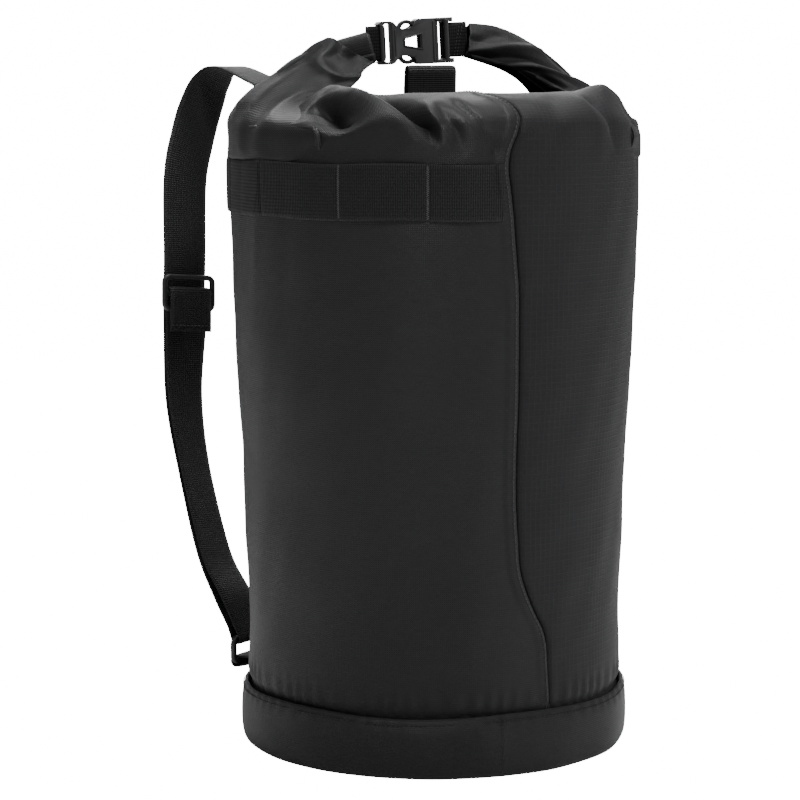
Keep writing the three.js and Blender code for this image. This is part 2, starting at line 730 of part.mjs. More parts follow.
/** Directions of the slider: along its bars, up the strap, and towards the bag. */
function sliderFrame(strap) {
  const share = shareAtHeight(strap, SLIDER_AT);
  const station = shifted(strap.station(share), SLIDER_OFFSET);
  const up = station.inward.clone().cross(station.across).normalize();
  return { centre: station.point, across: station.across, up, inward: station.inward };
}

/** Puts a plate drawn in X and Y at a frame, its X across and its Y up. */
function placed(geometry, frame) {
  const normal = frame.across.clone().cross(frame.up);
  const matrix = new THREE.Matrix4().makeBasis(frame.across, frame.up, normal);
  matrix.setPosition(frame.centre);
  geometry.applyMatrix4(matrix);
  return geometry;
}

function strapSlider(strap) {
  const shape = roundedRectangle(SLIDER_LENGTH, SLIDER_HEIGHT, 6);
  [-6.6, 6.6].forEach((y) => {
    shape.holes.push(roundedRectangle(SLIDER_SLOT, 7.4, 1.5, new THREE.Path(), [0, y]));
  });
  return mesh(`${strap.side}_slider`, placed(plate(shape, SLIDER_DEPTH), sliderFrame(strap)),
    COLOURS.plastic);
}

function lowerRing(strap) {
  const shape = roundedRectangle(RING_LENGTH, RING_HEIGHT, 4);
  const hole = RING_HEIGHT - 2 * RING_BAR;
  shape.holes.push(roundedRectangle(STRAP_WIDTH + 1.2, hole, 1, new THREE.Path()));
  return mesh(`${strap.side}_lower_ring`, placed(plate(shape, RING_BAR), ringFrame(strap)),
    COLOURS.plastic);
}

/** The tab that holds the lower ring, folded round its bar and sewn into the base seam. */
function lowerTab(strap) {
  const ring = ringFrame(strap);
  const bar = ring.centre.clone().addScaledVector(ring.up, RING_BAR / 2 - RING_HEIGHT / 2);
  const wall = (height, reach) => {
    const outward = vec(ring.centre.x, ring.centre.y, 0).normalize();
    const point = outward.multiplyScalar(reach);
    point.z = height;
    return { point, across: ring.across };
  };
  const fold = foldRound(bar, ring.up, ring.inward, ring.across, RING_FOLD, -70, -290).map(
    (station) => ({ point: station.point, across: station.across }),
  );
  const stations = [wall(38, 147), ...fold.slice(0, 6), wall(47.5, 147)];
  return mesh(`${strap.side}_lower_tab`, ribbon(stations, STRAP_WIDTH, WEBBING), COLOURS.webbing);
}

/** The sewn upper end of a strap, flat on the yoke and bent out at the top. */
function topTab(strap) {
  const x = strap.flip * STRAP_LINE[0][0];
  const across = vec(1, 0, 0);
  const stations = [[153.4, 402], [153.6, 430], [154, 437], [155.2, 442.6]].map(([y, z]) => (
    { point: vec(x, y, z), across }
  ));
  return mesh(`${strap.side}_strap_top_tab`, ribbon(stations, STRAP_WIDTH, WEBBING),
    COLOURS.webbing);
}

function shoulderStrap(side) {
  const strap = strapSide(side);
  const group = new THREE.Group();
  group.add(
    topTab(strap),
    mainStrap(strap),
    returnStrap(strap),
    strapSlider(strap),
    lowerRing(strap),
    lowerTab(strap),
  );
  return group;
}

// ---- the whole bag ------------------------------------------------------
const bag = new THREE.Group();
bag.add(
  disc('base_panel', BASE_PANEL_RADIUS, 0, 2, COLOURS.heavy),
  disc('base_stiffener', STIFFENER_RADIUS, 2 + GAP, 4 + GAP, COLOURS.board),
  baseBand(),
  baseSeamBinding(),
  frontLeftPanel(),
  frontRightPanel(),
  backPanel(),
  seamTape('front_seam_tape', frontSeam),
  seamTape('left_seam_tape', () => -SEAM_ANGLE),
  seamTape('right_seam_tape', () => SEAM_ANGLE),
  daisyChain(),
  backYoke(),
  mouthRoll('rolled_mouth', 0.014, RIGHT_ARM_START, 26, COLOURS.heavy),
  mouthRoll('right_mouth_arm', RIGHT_ARM_START + 0.001, 1, 12, COLOURS.ripstop),
  mouthEar('left_ear', -1, 0.02, 0.21, COLOURS.heavy),
  mouthEar('right_ear', 1, 0.98, 0.79, COLOURS.ripstop),
  mouthStiffener(),
  closureBuckle(),
  hangLoopPatch(),
  hangLoop(),
  shoulderStrap('left'),
  shoulderStrap('right'),
);

export default bag;
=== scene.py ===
"""Looks for the roll-top rope storage bag: cloth, webbing, stitching, buckle, camera and light."""
import logging
from dataclasses import dataclass, field
from enum import Enum

import bmesh
import bpy
import numpy as np
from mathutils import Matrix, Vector


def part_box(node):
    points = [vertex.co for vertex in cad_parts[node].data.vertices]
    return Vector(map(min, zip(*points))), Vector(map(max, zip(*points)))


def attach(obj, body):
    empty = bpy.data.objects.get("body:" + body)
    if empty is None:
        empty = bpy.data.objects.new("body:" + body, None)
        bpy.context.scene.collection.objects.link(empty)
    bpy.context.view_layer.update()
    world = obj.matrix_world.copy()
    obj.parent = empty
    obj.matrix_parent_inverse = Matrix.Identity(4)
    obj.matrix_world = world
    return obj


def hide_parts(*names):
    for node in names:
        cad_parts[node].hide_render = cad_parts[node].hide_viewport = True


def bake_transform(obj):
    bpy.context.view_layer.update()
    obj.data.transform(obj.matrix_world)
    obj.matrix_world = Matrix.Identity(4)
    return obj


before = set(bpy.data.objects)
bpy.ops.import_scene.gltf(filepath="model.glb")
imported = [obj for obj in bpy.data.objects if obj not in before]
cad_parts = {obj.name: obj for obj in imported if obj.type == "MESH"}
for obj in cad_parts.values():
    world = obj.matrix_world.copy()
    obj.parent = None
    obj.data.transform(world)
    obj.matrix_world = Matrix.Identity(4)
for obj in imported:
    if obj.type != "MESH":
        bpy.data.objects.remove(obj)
LOG = logging.getLogger("rope_bag")

Array = np.ndarray

STRAP_WIDTH = 0.038
CLOSURE_WIDTH = 0.025
WEBBING = 0.0018
CLOTH = 0.0014
SEAM_ANGLE = 125.0
SHOULDER = 0.450
ROOF_RUN = 0.160
MOUTH_Y = 0.015
WALL_FOOT = 0.038
WALL_RADIUS = 0.146
GIRTH = 2 * np.pi * WALL_RADIUS
WALL_RUN = SHOULDER + ROOF_RUN - WALL_FOOT
ROLL_TURN = 0.043
EAR_CUT = (0.20, 0.16)
RING_ANGLE = np.radians(38)


class Cut(Enum):
    """How a cloth piece is held."""

    STRETCHED = "stretched"
    GATHERED = "gathered"
    FOLDED = "folded"


# ---- small number tools ---------------------------------------------------
def smooth(low: float, high: float, value: Array) -> Array:
    """A soft step from 0 at low to 1 at high."""
    share = np.clip((np.asarray(value, float) - low) / (high - low), 0, 1)
    return share * share * (3 - 2 * share)


def bell(value: Array, centre: float, width: float) -> Array:
    """A bell that is 1 at its centre and falls away over a width."""
    return np.exp(-(((value - centre) / width) ** 2))


def unit(vectors: Array) -> Array:
    """Vectors scaled to length one."""
    return vectors / np.maximum(np.linalg.norm(vectors, axis=-1, keepdims=True), 1e-12)


def ripples(u: Array, v: Array, seed: int, size: float) -> Array:
    """Soft irregular waves, about -1 to 1: seven sine waves with chance headings and phases.

    Args:
        u, v: distances along the surface in metres.
        seed: fixes the headings and the phases.
        size: length of a typical wave in metres.
    Returns:
        The height of the waves, in the shape of u.
    """
    chance = np.random.default_rng(seed)
    total = np.zeros(np.broadcast(u, v).shape)
    for _ in range(7):
        heading, phase = chance.uniform(0, 2 * np.pi, 2)
        length = size * chance.uniform(0.6, 1.6)
        along = u * np.cos(heading) + v * np.sin(heading)
        total += np.sin(2 * np.pi * along / length + phase)
    return total / 4


def through(points: Array, shares: Array) -> Array:
    """A smooth line through points: between two, the cubic that keeps the slope to the next.

    Args:
        points: one row per point, evenly spread over shares 0 to 1.
        shares: where to read the line.
    Returns:
        One row per share.
    """
    points = np.asarray(points, float)
    place = np.clip(np.asarray(shares, float), 0, 1) * (len(points) - 1)
    i = np.minimum(place.astype(int), len(points) - 2)
    t = (place - i)[..., None]
    before, a, b, after = (points[np.clip(i + k, 0, len(points) - 1)] for k in (-1, 0, 1, 2))
    return 0.5 * (2 * a + (b - before) * t + (2 * before - 5 * a + 4 * b - after) * t**2
                  + (3 * a - before - 3 * b + after) * t**3)


# ---- meshes from whole arrays ---------------------------------------------
def make_object(name: str, vertices: Array, faces: list, uv: Array | None = None,
                smooth_faces: bool = True) -> bpy.types.Object:
    """A mesh object from vertices and faces, its normals pointing out.

    Args:
        name: the object's plain name.
        vertices: one row per vertex, in metres.
        faces: vertex numbers of each face.
        uv: distances along the surface in metres, one row per vertex.
        smooth_faces: whether the faces are shaded smooth.
    Returns:
        The object, linked to the scene.
    """
    name = name.replace(" ", "_") + ("_look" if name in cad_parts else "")
    mesh = bpy.data.meshes.new(name)
    mesh.from_pydata(np.asarray(vertices, float).tolist(), [], faces)
    if uv is not None:
        layer = mesh.uv_layers.new(name="surface")
        corner = np.empty(len(mesh.loops), np.int32)
        mesh.loops.foreach_get("vertex_index", corner)
        layer.data.foreach_set("uv", np.asarray(uv, np.float32)[corner].ravel())
    work = bmesh.new()
    work.from_mesh(mesh)
    bmesh.ops.recalc_face_normals(work, faces=work.faces)
    work.to_mesh(mesh)
    work.free()
    mesh.polygons.foreach_set("use_smooth", [smooth_faces] * len(mesh.polygons))
    mesh.update()
    thing = bpy.data.objects.new(name, mesh)
    bpy.context.scene.collection.objects.link(thing)
    return thing


def quads(rows: int, columns: int, wrap_rows: bool = False, wrap_columns: bool = False) -> Array:
    """Vertex numbers of the quads of a grid that may close on itself."""
    number = np.arange(rows * columns).reshape(rows, columns)
    if wrap_rows:
        number = np.vstack([number, number[:1]])
    if wrap_columns:
        number = np.hstack([number, number[:, :1]])
    corners = [number[:-1, :-1], number[1:, :-1], number[1:, 1:], number[:-1, 1:]]
    return np.stack(corners, -1).reshape(-1, 4)


def grid_normals(grid: Array) -> Array:
    """Normals of a grid of points: its row direction crossed with its column direction."""
    return unit(np.cross(np.gradient(grid, axis=0), np.gradient(grid, axis=1)))


def shell(name: str, grid: Array, uv: Array, thickness: float,
          normals: Array | None = None) -> bpy.types.Object:
    """A closed sheet of cloth: the grid, the same grid moved inwards, and a rim round both.

    Args:
        name: the object's name.
        grid: points of the outer face, rows by columns by 3.
        uv: distances along the cloth in metres, rows by columns by 2.
        thickness: how far the inner face lies behind the outer one.
        normals: outward directions, worked out from the grid if not given.
    Returns:
        The sheet as an object.
    """
    rows, columns = grid.shape[:2]
    normals = grid_normals(grid) if normals is None else normals
    inner = grid - normals * thickness
    count = rows * columns
    front = quads(rows, columns)
    back = front[:, ::-1] + count
    number = np.arange(count).reshape(rows, columns)
    rim = np.concatenate([number[0], number[1:, -1], number[-1, -2::-1], number[-2:0:-1, 0]])
    nxt = np.roll(rim, -1)
    edge = np.stack([rim, nxt, nxt + count, rim + count], -1)
    faces = np.vstack([front, back, edge]).tolist()
    vertices = np.vstack([grid.reshape(-1, 3), inner.reshape(-1, 3)])
    both = np.vstack([uv.reshape(-1, 2)] * 2)
    return make_object(name, vertices, faces, both)


def tube(name: str, loops: Array, uv: Array | None = None,
         closed: bool = False) -> bpy.types.Object:
    """A body through loops of points, its ends capped unless the loops run in a ring."""
    rows, columns = loops.shape[:2]
    faces = quads(rows, columns, closed, True).tolist()
    if not closed:
        faces += [list(range(columns)), list(range((rows - 1) * columns, rows * columns))]
    flat = None if uv is None else uv.reshape(-1, 2)
    return make_object(name, loops.reshape(-1, 3), faces, flat)


def flat_section(width: float, thickness: float, steps: int = 12) -> Array:
    """Half-round edged section of webbing as a closed loop of (across, height) pairs."""
    across = np.linspace(-1, 1, steps)
    rounding = np.sqrt(np.clip(1 - (np.abs(across) * 1.0) ** 14, 0.0, 1))
    half = thickness / 2 * np.maximum(rounding, 0.35)
    top = np.stack([across * width / 2, half], -1)
    return np.vstack([top, (top * [1, -1])[::-1]])


def band(name: str, line: Array, across: Array, width: float, thickness: float = WEBBING,
         steps: int = 12) -> bpy.types.Object:
    """Webbing along a line: its section is carried along, square to the line at every place.

    Args:
        name: the object's name.
        line: points along the middle of the webbing.
        across: direction of its width at each point.
        width, thickness: its size in metres.
        steps: points over half its section.
    Returns:
        The webbing as an object, its uv running along and across in metres.
    """
    along = unit(np.gradient(line, axis=0))
    across = np.broadcast_to(across, line.shape)
    across = unit(across - along * np.sum(along * across, -1, keepdims=True))
    normal = np.cross(along, across)
    section = flat_section(width, thickness, steps)
    loops = (line[:, None] + across[:, None] * section[None, :, :1]
             + normal[:, None] * section[None, :, 1:])
    run = np.concatenate([[0], np.cumsum(np.linalg.norm(np.diff(line, axis=0), axis=1))])
    uv = np.stack(np.broadcast_arrays(run[:, None], section[None, :, 0]), -1)
    return tube(name, loops, uv)


def even(line: Array, step: float) -> Array:
    """A line read again at even steps of about the given length."""
    line = np.asarray(line, float)
    run = np.concatenate([[0], np.cumsum(np.linalg.norm(np.diff(line[:, :3], axis=0), axis=1))])
    places = np.linspace(0, run[-1], max(int(run[-1] / step), 3) + 1)
    return np.stack([np.interp(places, run, line[:, k]) for k in range(line.shape[1])], -1)


def capsule(length: float, radius: float) -> tuple[Array, list]:
    """A small thread stitch lying along X, its two ends sunk: five rings of six points."""
    turn = np.linspace(0, 2 * np.pi, 6, endpoint=False)
    x = np.array([-0.5, -0.36, 0, 0.36, 0.5]) * length
    size = np.array([0.35, 0.9, 1.0, 0.9, 0.35]) * radius
    sink = np.array([-1.4, -0.1, 0.15, -0.1, -1.4]) * radius
    rings = np.stack(np.broadcast_arrays(
        x[:, None], size[:, None] * np.cos(turn), size[:, None] * np.sin(turn) + sink[:, None]), -1)
    faces = quads(5, 6, False, True).tolist()
    faces += [list(range(6)), list(range(24, 30))]
    return rings.reshape(-1, 3), faces


def stitches(name: str, line: Array, normals: Array, pitch: float = 0.0032,
             length: float = 0.0025, radius: float = 0.00034,
             zigzag: float = 0.0) -> bpy.types.Object:
    """A row of stitches along a line: the same short thread at every pitch, lying on the surface.

    Args:
        name: the object's name.
        line: points on the surface that the seam follows.
        normals: outward direction at those points.
        pitch, length, radius: spacing and size of one stitch.
        zigzag: half the width of a zigzag, 0 for a straight row.
    Returns:
        All the stitches as one object.
    """
    both = even(np.hstack([line, normals]), pitch)
    origin, up = both[:, :3], unit(both[:, 3:])
    along = unit(np.gradient(origin, axis=0))
    side = unit(np.cross(up, along))
    if zigzag:
        sign = np.where(np.arange(len(origin)) % 2, 1.0, -1.0)[:, None]
        along = unit(along * pitch + side * sign * 2 * zigzag)
        side = unit(np.cross(up, along))
    up = np.cross(along, side)
    points, faces = capsule(length, radius)
    placed = (origin[:, None] + along[:, None] * points[None, :, :1]
              + side[:, None] * points[None, :, 1:2] + up[:, None] * points[None, :, 2:])
    shift = np.arange(len(origin)) * len(points)
    every = [[corner + offset for corner in face] for offset in shift.tolist() for face in faces]
    return make_object(name, placed.reshape(-1, 3), every)


# ---- shader node groups ----------------------------------------------------
@dataclass
class Wires:
    """Adds nodes to a node tree and joins them, each value linked or typed in."""

    tree: bpy.types.NodeTree

    def add(self, kind: str, **settings) -> bpy.types.Node:
        """A node with some of its settings changed."""
        node = self.tree.nodes.new(kind)
        for key, value in settings.items():
            setattr(node, key, value)
        return node

    def feed(self, socket: bpy.types.NodeSocket, value: object) -> None:
        """Links an output to a socket, or types a constant into it."""
        if isinstance(value, bpy.types.NodeSocket):
            self.tree.links.new(value, socket)
        else:
            socket.default_value = value

    def math(self, operation: str, *values: object) -> bpy.types.NodeSocket:
        """The result of one sum."""
        node = self.add("ShaderNodeMath", operation=operation)
        for socket, value in zip(node.inputs, values):
            self.feed(socket, value)
        return node.outputs[0]

    def mix(self, share: object, first: object, second: object) -> bpy.types.NodeSocket:
        """A colour between two colours."""
        node = self.add("ShaderNodeMix", data_type="RGBA")
        self.feed(node.inputs[0], share)
        self.feed(node.inputs[6], first)
        self.feed(node.inputs[7], second)
        return node.outputs[2]

    def noise(self, vector: bpy.types.NodeSocket, scale: float,
              detail: float = 3.0) -> bpy.types.NodeSocket:
        """Soft noise, 0 to 1."""
        node = self.add("ShaderNodeTexNoise")
        self.feed(node.inputs["Vector"], vector)
        self.feed(node.inputs["Scale"], scale)
        self.feed(node.inputs["Detail"], detail)
        return node.outputs["Fac"]


def new_group(name: str, inputs: list, outputs: list) -> tuple:
    """An empty shader group with float inputs and outputs, apart from those named Vector."""
    tree = bpy.data.node_groups.new(name, "ShaderNodeTree")
    for label in inputs:
        kind = "NodeSocketVector" if label == "Vector" else "NodeSocketFloat"
        tree.interface.new_socket(label, in_out="INPUT", socket_type=kind)
    for label in outputs:
        tree.interface.new_socket(label, in_out="OUTPUT", socket_type="NodeSocketFloat")
    wires = Wires(tree)
    return tree, wires, wires.add("NodeGroupInput"), wires.add("NodeGroupOutput")


def weave_group() -> bpy.types.NodeTree:
    """Threads: sine waves along and across the cloth, leaning by a slant, broken up by noise; the
    shade output is painted shade, the thread height as colour, darker in the grooves and lighter on
    the crests.
    """
    tree, wires, given, result = new_group(
        "woven threads", ["Vector", "Along", "Across", "Slant"], ["Height", "Shade"])
    parts = wires.add("ShaderNodeSeparateXYZ")
    wires.feed(parts.inputs[0], given.outputs["Vector"])
    lean = wires.math("MULTIPLY", parts.outputs[1], given.outputs["Slant"])
    leaning = wires.math("ADD", parts.outputs[0], lean)
    along = wires.math("MULTIPLY", leaning, given.outputs["Along"])
    across = wires.math("MULTIPLY", parts.outputs[1], given.outputs["Across"])
    first = wires.math("SINE", wires.math("MULTIPLY", along, 6.2832))
    second = wires.math("SINE", wires.math("MULTIPLY", across, 6.2832))
    patchy = wires.noise(given.outputs["Vector"], 900.0, 2.0)
    crossed = wires.math("MULTIPLY_ADD", second, 0.35, wires.math("MULTIPLY", first, 0.65))
    height = wires.math("MULTIPLY_ADD", crossed, 0.5, 0.5)
    wires.feed(result.inputs["Height"], wires.math("MULTIPLY_ADD", patchy, 0.5, height))
    # painted shade: darker between the threads, lighter on their crests, times noise
    wires.feed(result.inputs["Shade"], wires.math("MULTIPLY", height,
                                                  wires.math("ADD", patchy, 0.5)))
    return tree


def marks_group() -> bpy.types.NodeTree:
    """Uneven tone and a little dust from handling, from noise of three sizes."""
    tree, wires, given, result = new_group("handling marks", ["Vector"], ["Tone", "Dust"])
    broad = wires.noise(given.outputs["Vector"], 9.0, 4.0)
    middle = wires.noise(given.outputs["Vector"], 45.0, 4.0)
    fine = wires.noise(given.outputs["Vector"], 420.0, 2.0)
    wires.feed(result.inputs["Tone"], wires.math("MULTIPLY_ADD", middle, 0.4,
                                                 wires.math("MULTIPLY", broad, 0.6)))
    specks = wires.math("SMOOTH_MIN", 1.0, wires.math("POWER", wires.math(
        "MULTIPLY", fine, 1.25), 9.0), 0.1)
    wires.feed(result.inputs["Dust"], wires.math("MULTIPLY", specks, middle))
    return tree


def edges_group() -> bpy.types.NodeTree:
    """How worn an edge is: 1 on sharp outer edges, 0 on flat faces."""
    tree, wires, _, result = new_group("edge wear", ["Vector"], ["Wear"])
    shape = wires.add("ShaderNodeNewGeometry")
    ramp = wires.add("ShaderNodeMapRange", interpolation_type="SMOOTHSTEP")
    wires.feed(ramp.inputs[0], shape.outputs["Pointiness"])
    wires.feed(ramp.inputs[1], 0.505)
    wires.feed(ramp.inputs[2], 0.60)
    wires.feed(result.inputs["Wear"], ramp.outputs[0])
    return tree


GROUPS: dict[str, bpy.types.NodeTree] = {}


def group(name: str) -> bpy.types.NodeTree:
    """One of the three shared groups, made the first time it is asked for."""
    makers = {"weave": weave_group, "marks": marks_group, "edges": edges_group}
    if name not in GROUPS:
        GROUPS[name] = makers[name]()
    return GROUPS[name]


# ---- finishes ---------------------------------------------------------------
@dataclass(frozen=True)
class Finish:
    """A surface finish of threads or of moulded plastic.

    Along, across and slant say how many threads lie in a metre and how they lean; grid is the
    spacing of the thicker ripstop threads, 0 for none.
    """

    name: str
    slot: str
    dark: tuple
    light: tuple
    roughness: float
    sheen: float
    specular: float
    along: float
    across: float
    slant: float = 0.0
    relief: float = 0.0003
    grid: float = 0.0
    woven: bool = True

    def material(self) -> bpy.types.Material:
        """The finish as a material, made once."""
        found = bpy.data.materials.get(self.name)
        if found:
            return found
        made = bpy.data.materials.new(self.name)
        made.use_nodes = True
        wires = Wires(made.node_tree)
        shader = made.node_tree.nodes["Principled BSDF"]
        place = wires.add("ShaderNodeTexCoord")
        marks = wires.add("ShaderNodeGroup", node_tree=group("marks"))
        wires.feed(marks.inputs[0], place.outputs["Object"])
        edges = wires.add("ShaderNodeGroup", node_tree=group("edges"))
        wires.feed(edges.inputs[0], place.outputs["Object"])
        tone, height = marks.outputs["Tone"], wires.noise(place.outputs["Object"], 1500.0, 2.0)
        if self.woven:
            tone, height = self.threads(wires, place, tone)
        # from the dark colour to the light one by random tone and, on woven cloth, painted shade of
        # the threads
        colour = wires.mix(tone, (*self.dark, 1), (*self.light, 1))
        worn = wires.math("MULTIPLY", edges.outputs["Wear"], 0.10 if self.woven else 0.30)
        colour = wires.mix(worn, colour, (0.16, 0.16, 0.165, 1))
        colour = wires.mix(wires.math("MULTIPLY", marks.outputs["Dust"], 0.05), colour,
                           (0.30, 0.29, 0.27, 1))
        wires.feed(shader.inputs["Base Color"], colour)
        rough = wires.math("MULTIPLY_ADD", marks.outputs["Tone"], 0.16, self.roughness - 0.08)
        wires.feed(shader.inputs["Roughness"], rough)
        shader.inputs["Sheen Weight"].default_value = self.sheen
        shader.inputs["Sheen Roughness"].default_value = 0.45
        shader.inputs["Specular IOR Level"].default_value = self.specular
        bump = wires.add("ShaderNodeBump")
        bump.inputs["Strength"].default_value = 0.6
        bump.inputs["Distance"].default_value = self.relief
        wires.feed(bump.inputs["Height"], height)
        wires.feed(shader.inputs["Normal"], bump.outputs["Normal"])
        return made

    def threads(self, wires: Wires, place: bpy.types.Node,
                tone: bpy.types.NodeSocket) -> tuple:
        """The tone and the height of the threads, from the cloth's own uv; the tone is random noise
        plus painted shade that follows the thread height.
        """
        weave = wires.add("ShaderNodeGroup", node_tree=group("weave"))
        wires.feed(weave.inputs["Vector"], place.outputs["UV"])
        wires.feed(weave.inputs["Along"], self.along)
        wires.feed(weave.inputs["Across"], self.across)
        wires.feed(weave.inputs["Slant"], self.slant)
        height = weave.outputs["Height"]
        # painted shade: the thread height as colour, mixed into the random tone
        tone = wires.math("MULTIPLY_ADD", tone, 0.5, wires.math(
            "MULTIPLY", weave.outputs["Shade"], 0.6))
        if self.grid:
            parts = wires.add("ShaderNodeSeparateXYZ")
            wires.feed(parts.inputs[0], place.outputs["UV"])
            lines = [wires.math("POWER", wires.math("ABSOLUTE", wires.math(
                "COSINE", wires.math("MULTIPLY", parts.outputs[k], np.pi / self.grid))), 40.0)
                for k in (0, 1)]
            thick = wires.math("MAXIMUM", *lines)
            height = wires.math("MULTIPLY_ADD", thick, 1.2, height)
            tone = wires.math("MULTIPLY_ADD", thick, 0.35, tone)
        return tone, height

    def wear(self, thing: bpy.types.Object) -> bpy.types.Object:
        """Gives an object this finish."""
        thing.data.materials.clear()
        thing.data.materials.append(self.material())
        return thing


HEAVY = Finish("coated pack cloth", "coated_cloth", (0.0045, 0.0045, 0.0050),
               (0.0165, 0.0165, 0.0178), 0.45, 0.05, 0.36, 700, 700, 1.0, 0.00050)
RIPSTOP = Finish("ripstop cloth", "ripstop_cloth", (0.0080, 0.0080, 0.0088),
                 (0.0185, 0.0185, 0.0204), 0.60, 0.06, 0.26, 900, 900, 0.0, 0.00014, 0.0045)
WEB = Finish("woven webbing", "webbing", (0.0012, 0.0012, 0.0013), (0.026, 0.026, 0.0275),
             0.62, 0.06, 0.25, 640, 430, 0.0, 0.0012)
TAPE = Finish("binding tape", "binding_tape", (0.004, 0.004, 0.0044), (0.014, 0.014, 0.015),
              0.75, 0.08, 0.2, 900, 500, 0.3, 0.0003)
THREAD = Finish("sewing thread", "binding_tape", (0.018, 0.018, 0.019), (0.045, 0.045, 0.048),
                0.5, 0.1, 0.3, 0, 0, woven=False, relief=0.0001)
TACK = Finish("bar tack thread", "webbing", (0.05, 0.05, 0.052), (0.12, 0.12, 0.125),
              0.5, 0.1, 0.3, 0, 0, woven=False, relief=0.0001)
BOARD = Finish("stiffener board", "stiffener_board", (0.006, 0.006, 0.006),
               (0.014, 0.014, 0.014), 0.5, 0.0, 0.3, 0, 0, woven=False, relief=0.0001)
PLASTIC = Finish("moulded plastic", "moulded_plastic", (0.016, 0.016, 0.017),
                 (0.040, 0.040, 0.043), 0.38, 0.0, 0.42, 0, 0, woven=False, relief=0.00012)


# ---- the bag's surface --------------------------------------------------------
@dataclass(frozen=True)
class Fold:
    """A fold between two places on the wall, each an angle in degrees and a distance up it.

    Height is signed; left and right are the widths of its two flanks in metres.
    """

    start: tuple
    end: tuple
    height: float
    left: float
    right: float
    fade: float = 0.012

    def relief(self, u: Array, v: Array) -> Array:
        """Height of the fold over the surface: a crest line whose flanks fall away like bells."""
        a = np.array([np.radians(self.start[0]) * 0.146, self.start[1]])
        b = np.array([np.radians(self.end[0]) * 0.146, self.end[1]])
        run = np.linalg.norm(b - a)
        heading = (b - a) / run
        along = (u - a[0]) * heading[0] + (v - a[1]) * heading[1]
        side = (u - a[0]) * heading[1] - (v - a[1]) * heading[0]
        flank = np.where(side < 0, self.left, self.right)
        ends = smooth(-self.fade, self.fade, along) * (1 - smooth(run - self.fade, run + self.fade,
                                                                  along))
        return self.height * np.exp(-np.abs(side / flank) ** 1.5) * ends


FOLDS = [
    # the hollow under the front edge of the left ear
    Fold((-50, 0.496), (-46, 0.450), -0.015, 0.011, 0.0095, 0.008),
    Fold((-44, 0.486), (-41, 0.462), -0.004, 0.012, 0.010),
    # the roof's left corner rises behind the ear's edge
    Fold((-62, 0.545), (-42, 0.512), 0.011, 0.026, 0.022, 0.015),
    # the sharp ridge from the ear down to the right and the shadow above it
    Fold((-41, 0.508), (-21, 0.436), 0.0062, 0.0030, 0.022, 0.010),
    Fold((-37, 0.518), (-20.5, 0.442), -0.0105, 0.011, 0.0048, 0.009),
    # smaller folds to the right of it
    Fold((-21, 0.482), (-17, 0.438), 0.0030, 0.006, 0.005),
    Fold((-17.5, 0.476), (-13, 0.436), -0.0042, 0.006, 0.005),
    Fold((-13, 0.486), (-3, 0.426), -0.0032, 0.006, 0.0042),
    Fold((-11, 0.490), (-5, 0.440), 0.0015, 0.005, 0.005),
    # soft folds that run down the left side from the ear
    Fold((-72, 0.450), (-80, 0.340), 0.0014, 0.008, 0.010, 0.03),
    Fold((-83, 0.450), (-88, 0.360), -0.0012, 0.008, 0.008, 0.03),
    Fold((-62, 0.440), (-66, 0.330), -0.0010, 0.010, 0.010, 0.04),
    # right shoulder: the roof's corner stands up in front of the ear's root
    Fold((40, 0.506), (90, 0.479), 0.0115, 0.022, 0.022, 0.018),
    Fold((58, 0.500), (66, 0.452), -0.0050, 0.008, 0.006, 0.010),
    Fold((33, 0.490), (39, 0.436), -0.0030, 0.007, 0.005),
    Fold((28, 0.494), (32, 0.430), 0.0016, 0.008, 0.007),
    Fold((52, 0.480), (60, 0.420), -0.0022, 0.009, 0.009),
    Fold((18, 0.500), (14, 0.440), -0.0014, 0.010, 0.010),
    # the back's top gathers
    Fold((150, 0.520), (158, 0.410), -0.0024, 0.008, 0.008),
    Fold((205, 0.520), (200, 0.410), -0.0022, 0.008, 0.008),
    Fold((225, 0.500), (232, 0.400), 0.0020, 0.009, 0.009),
    Fold((138, 0.500), (131, 0.400), 0.0020, 0.009, 0.009),
]


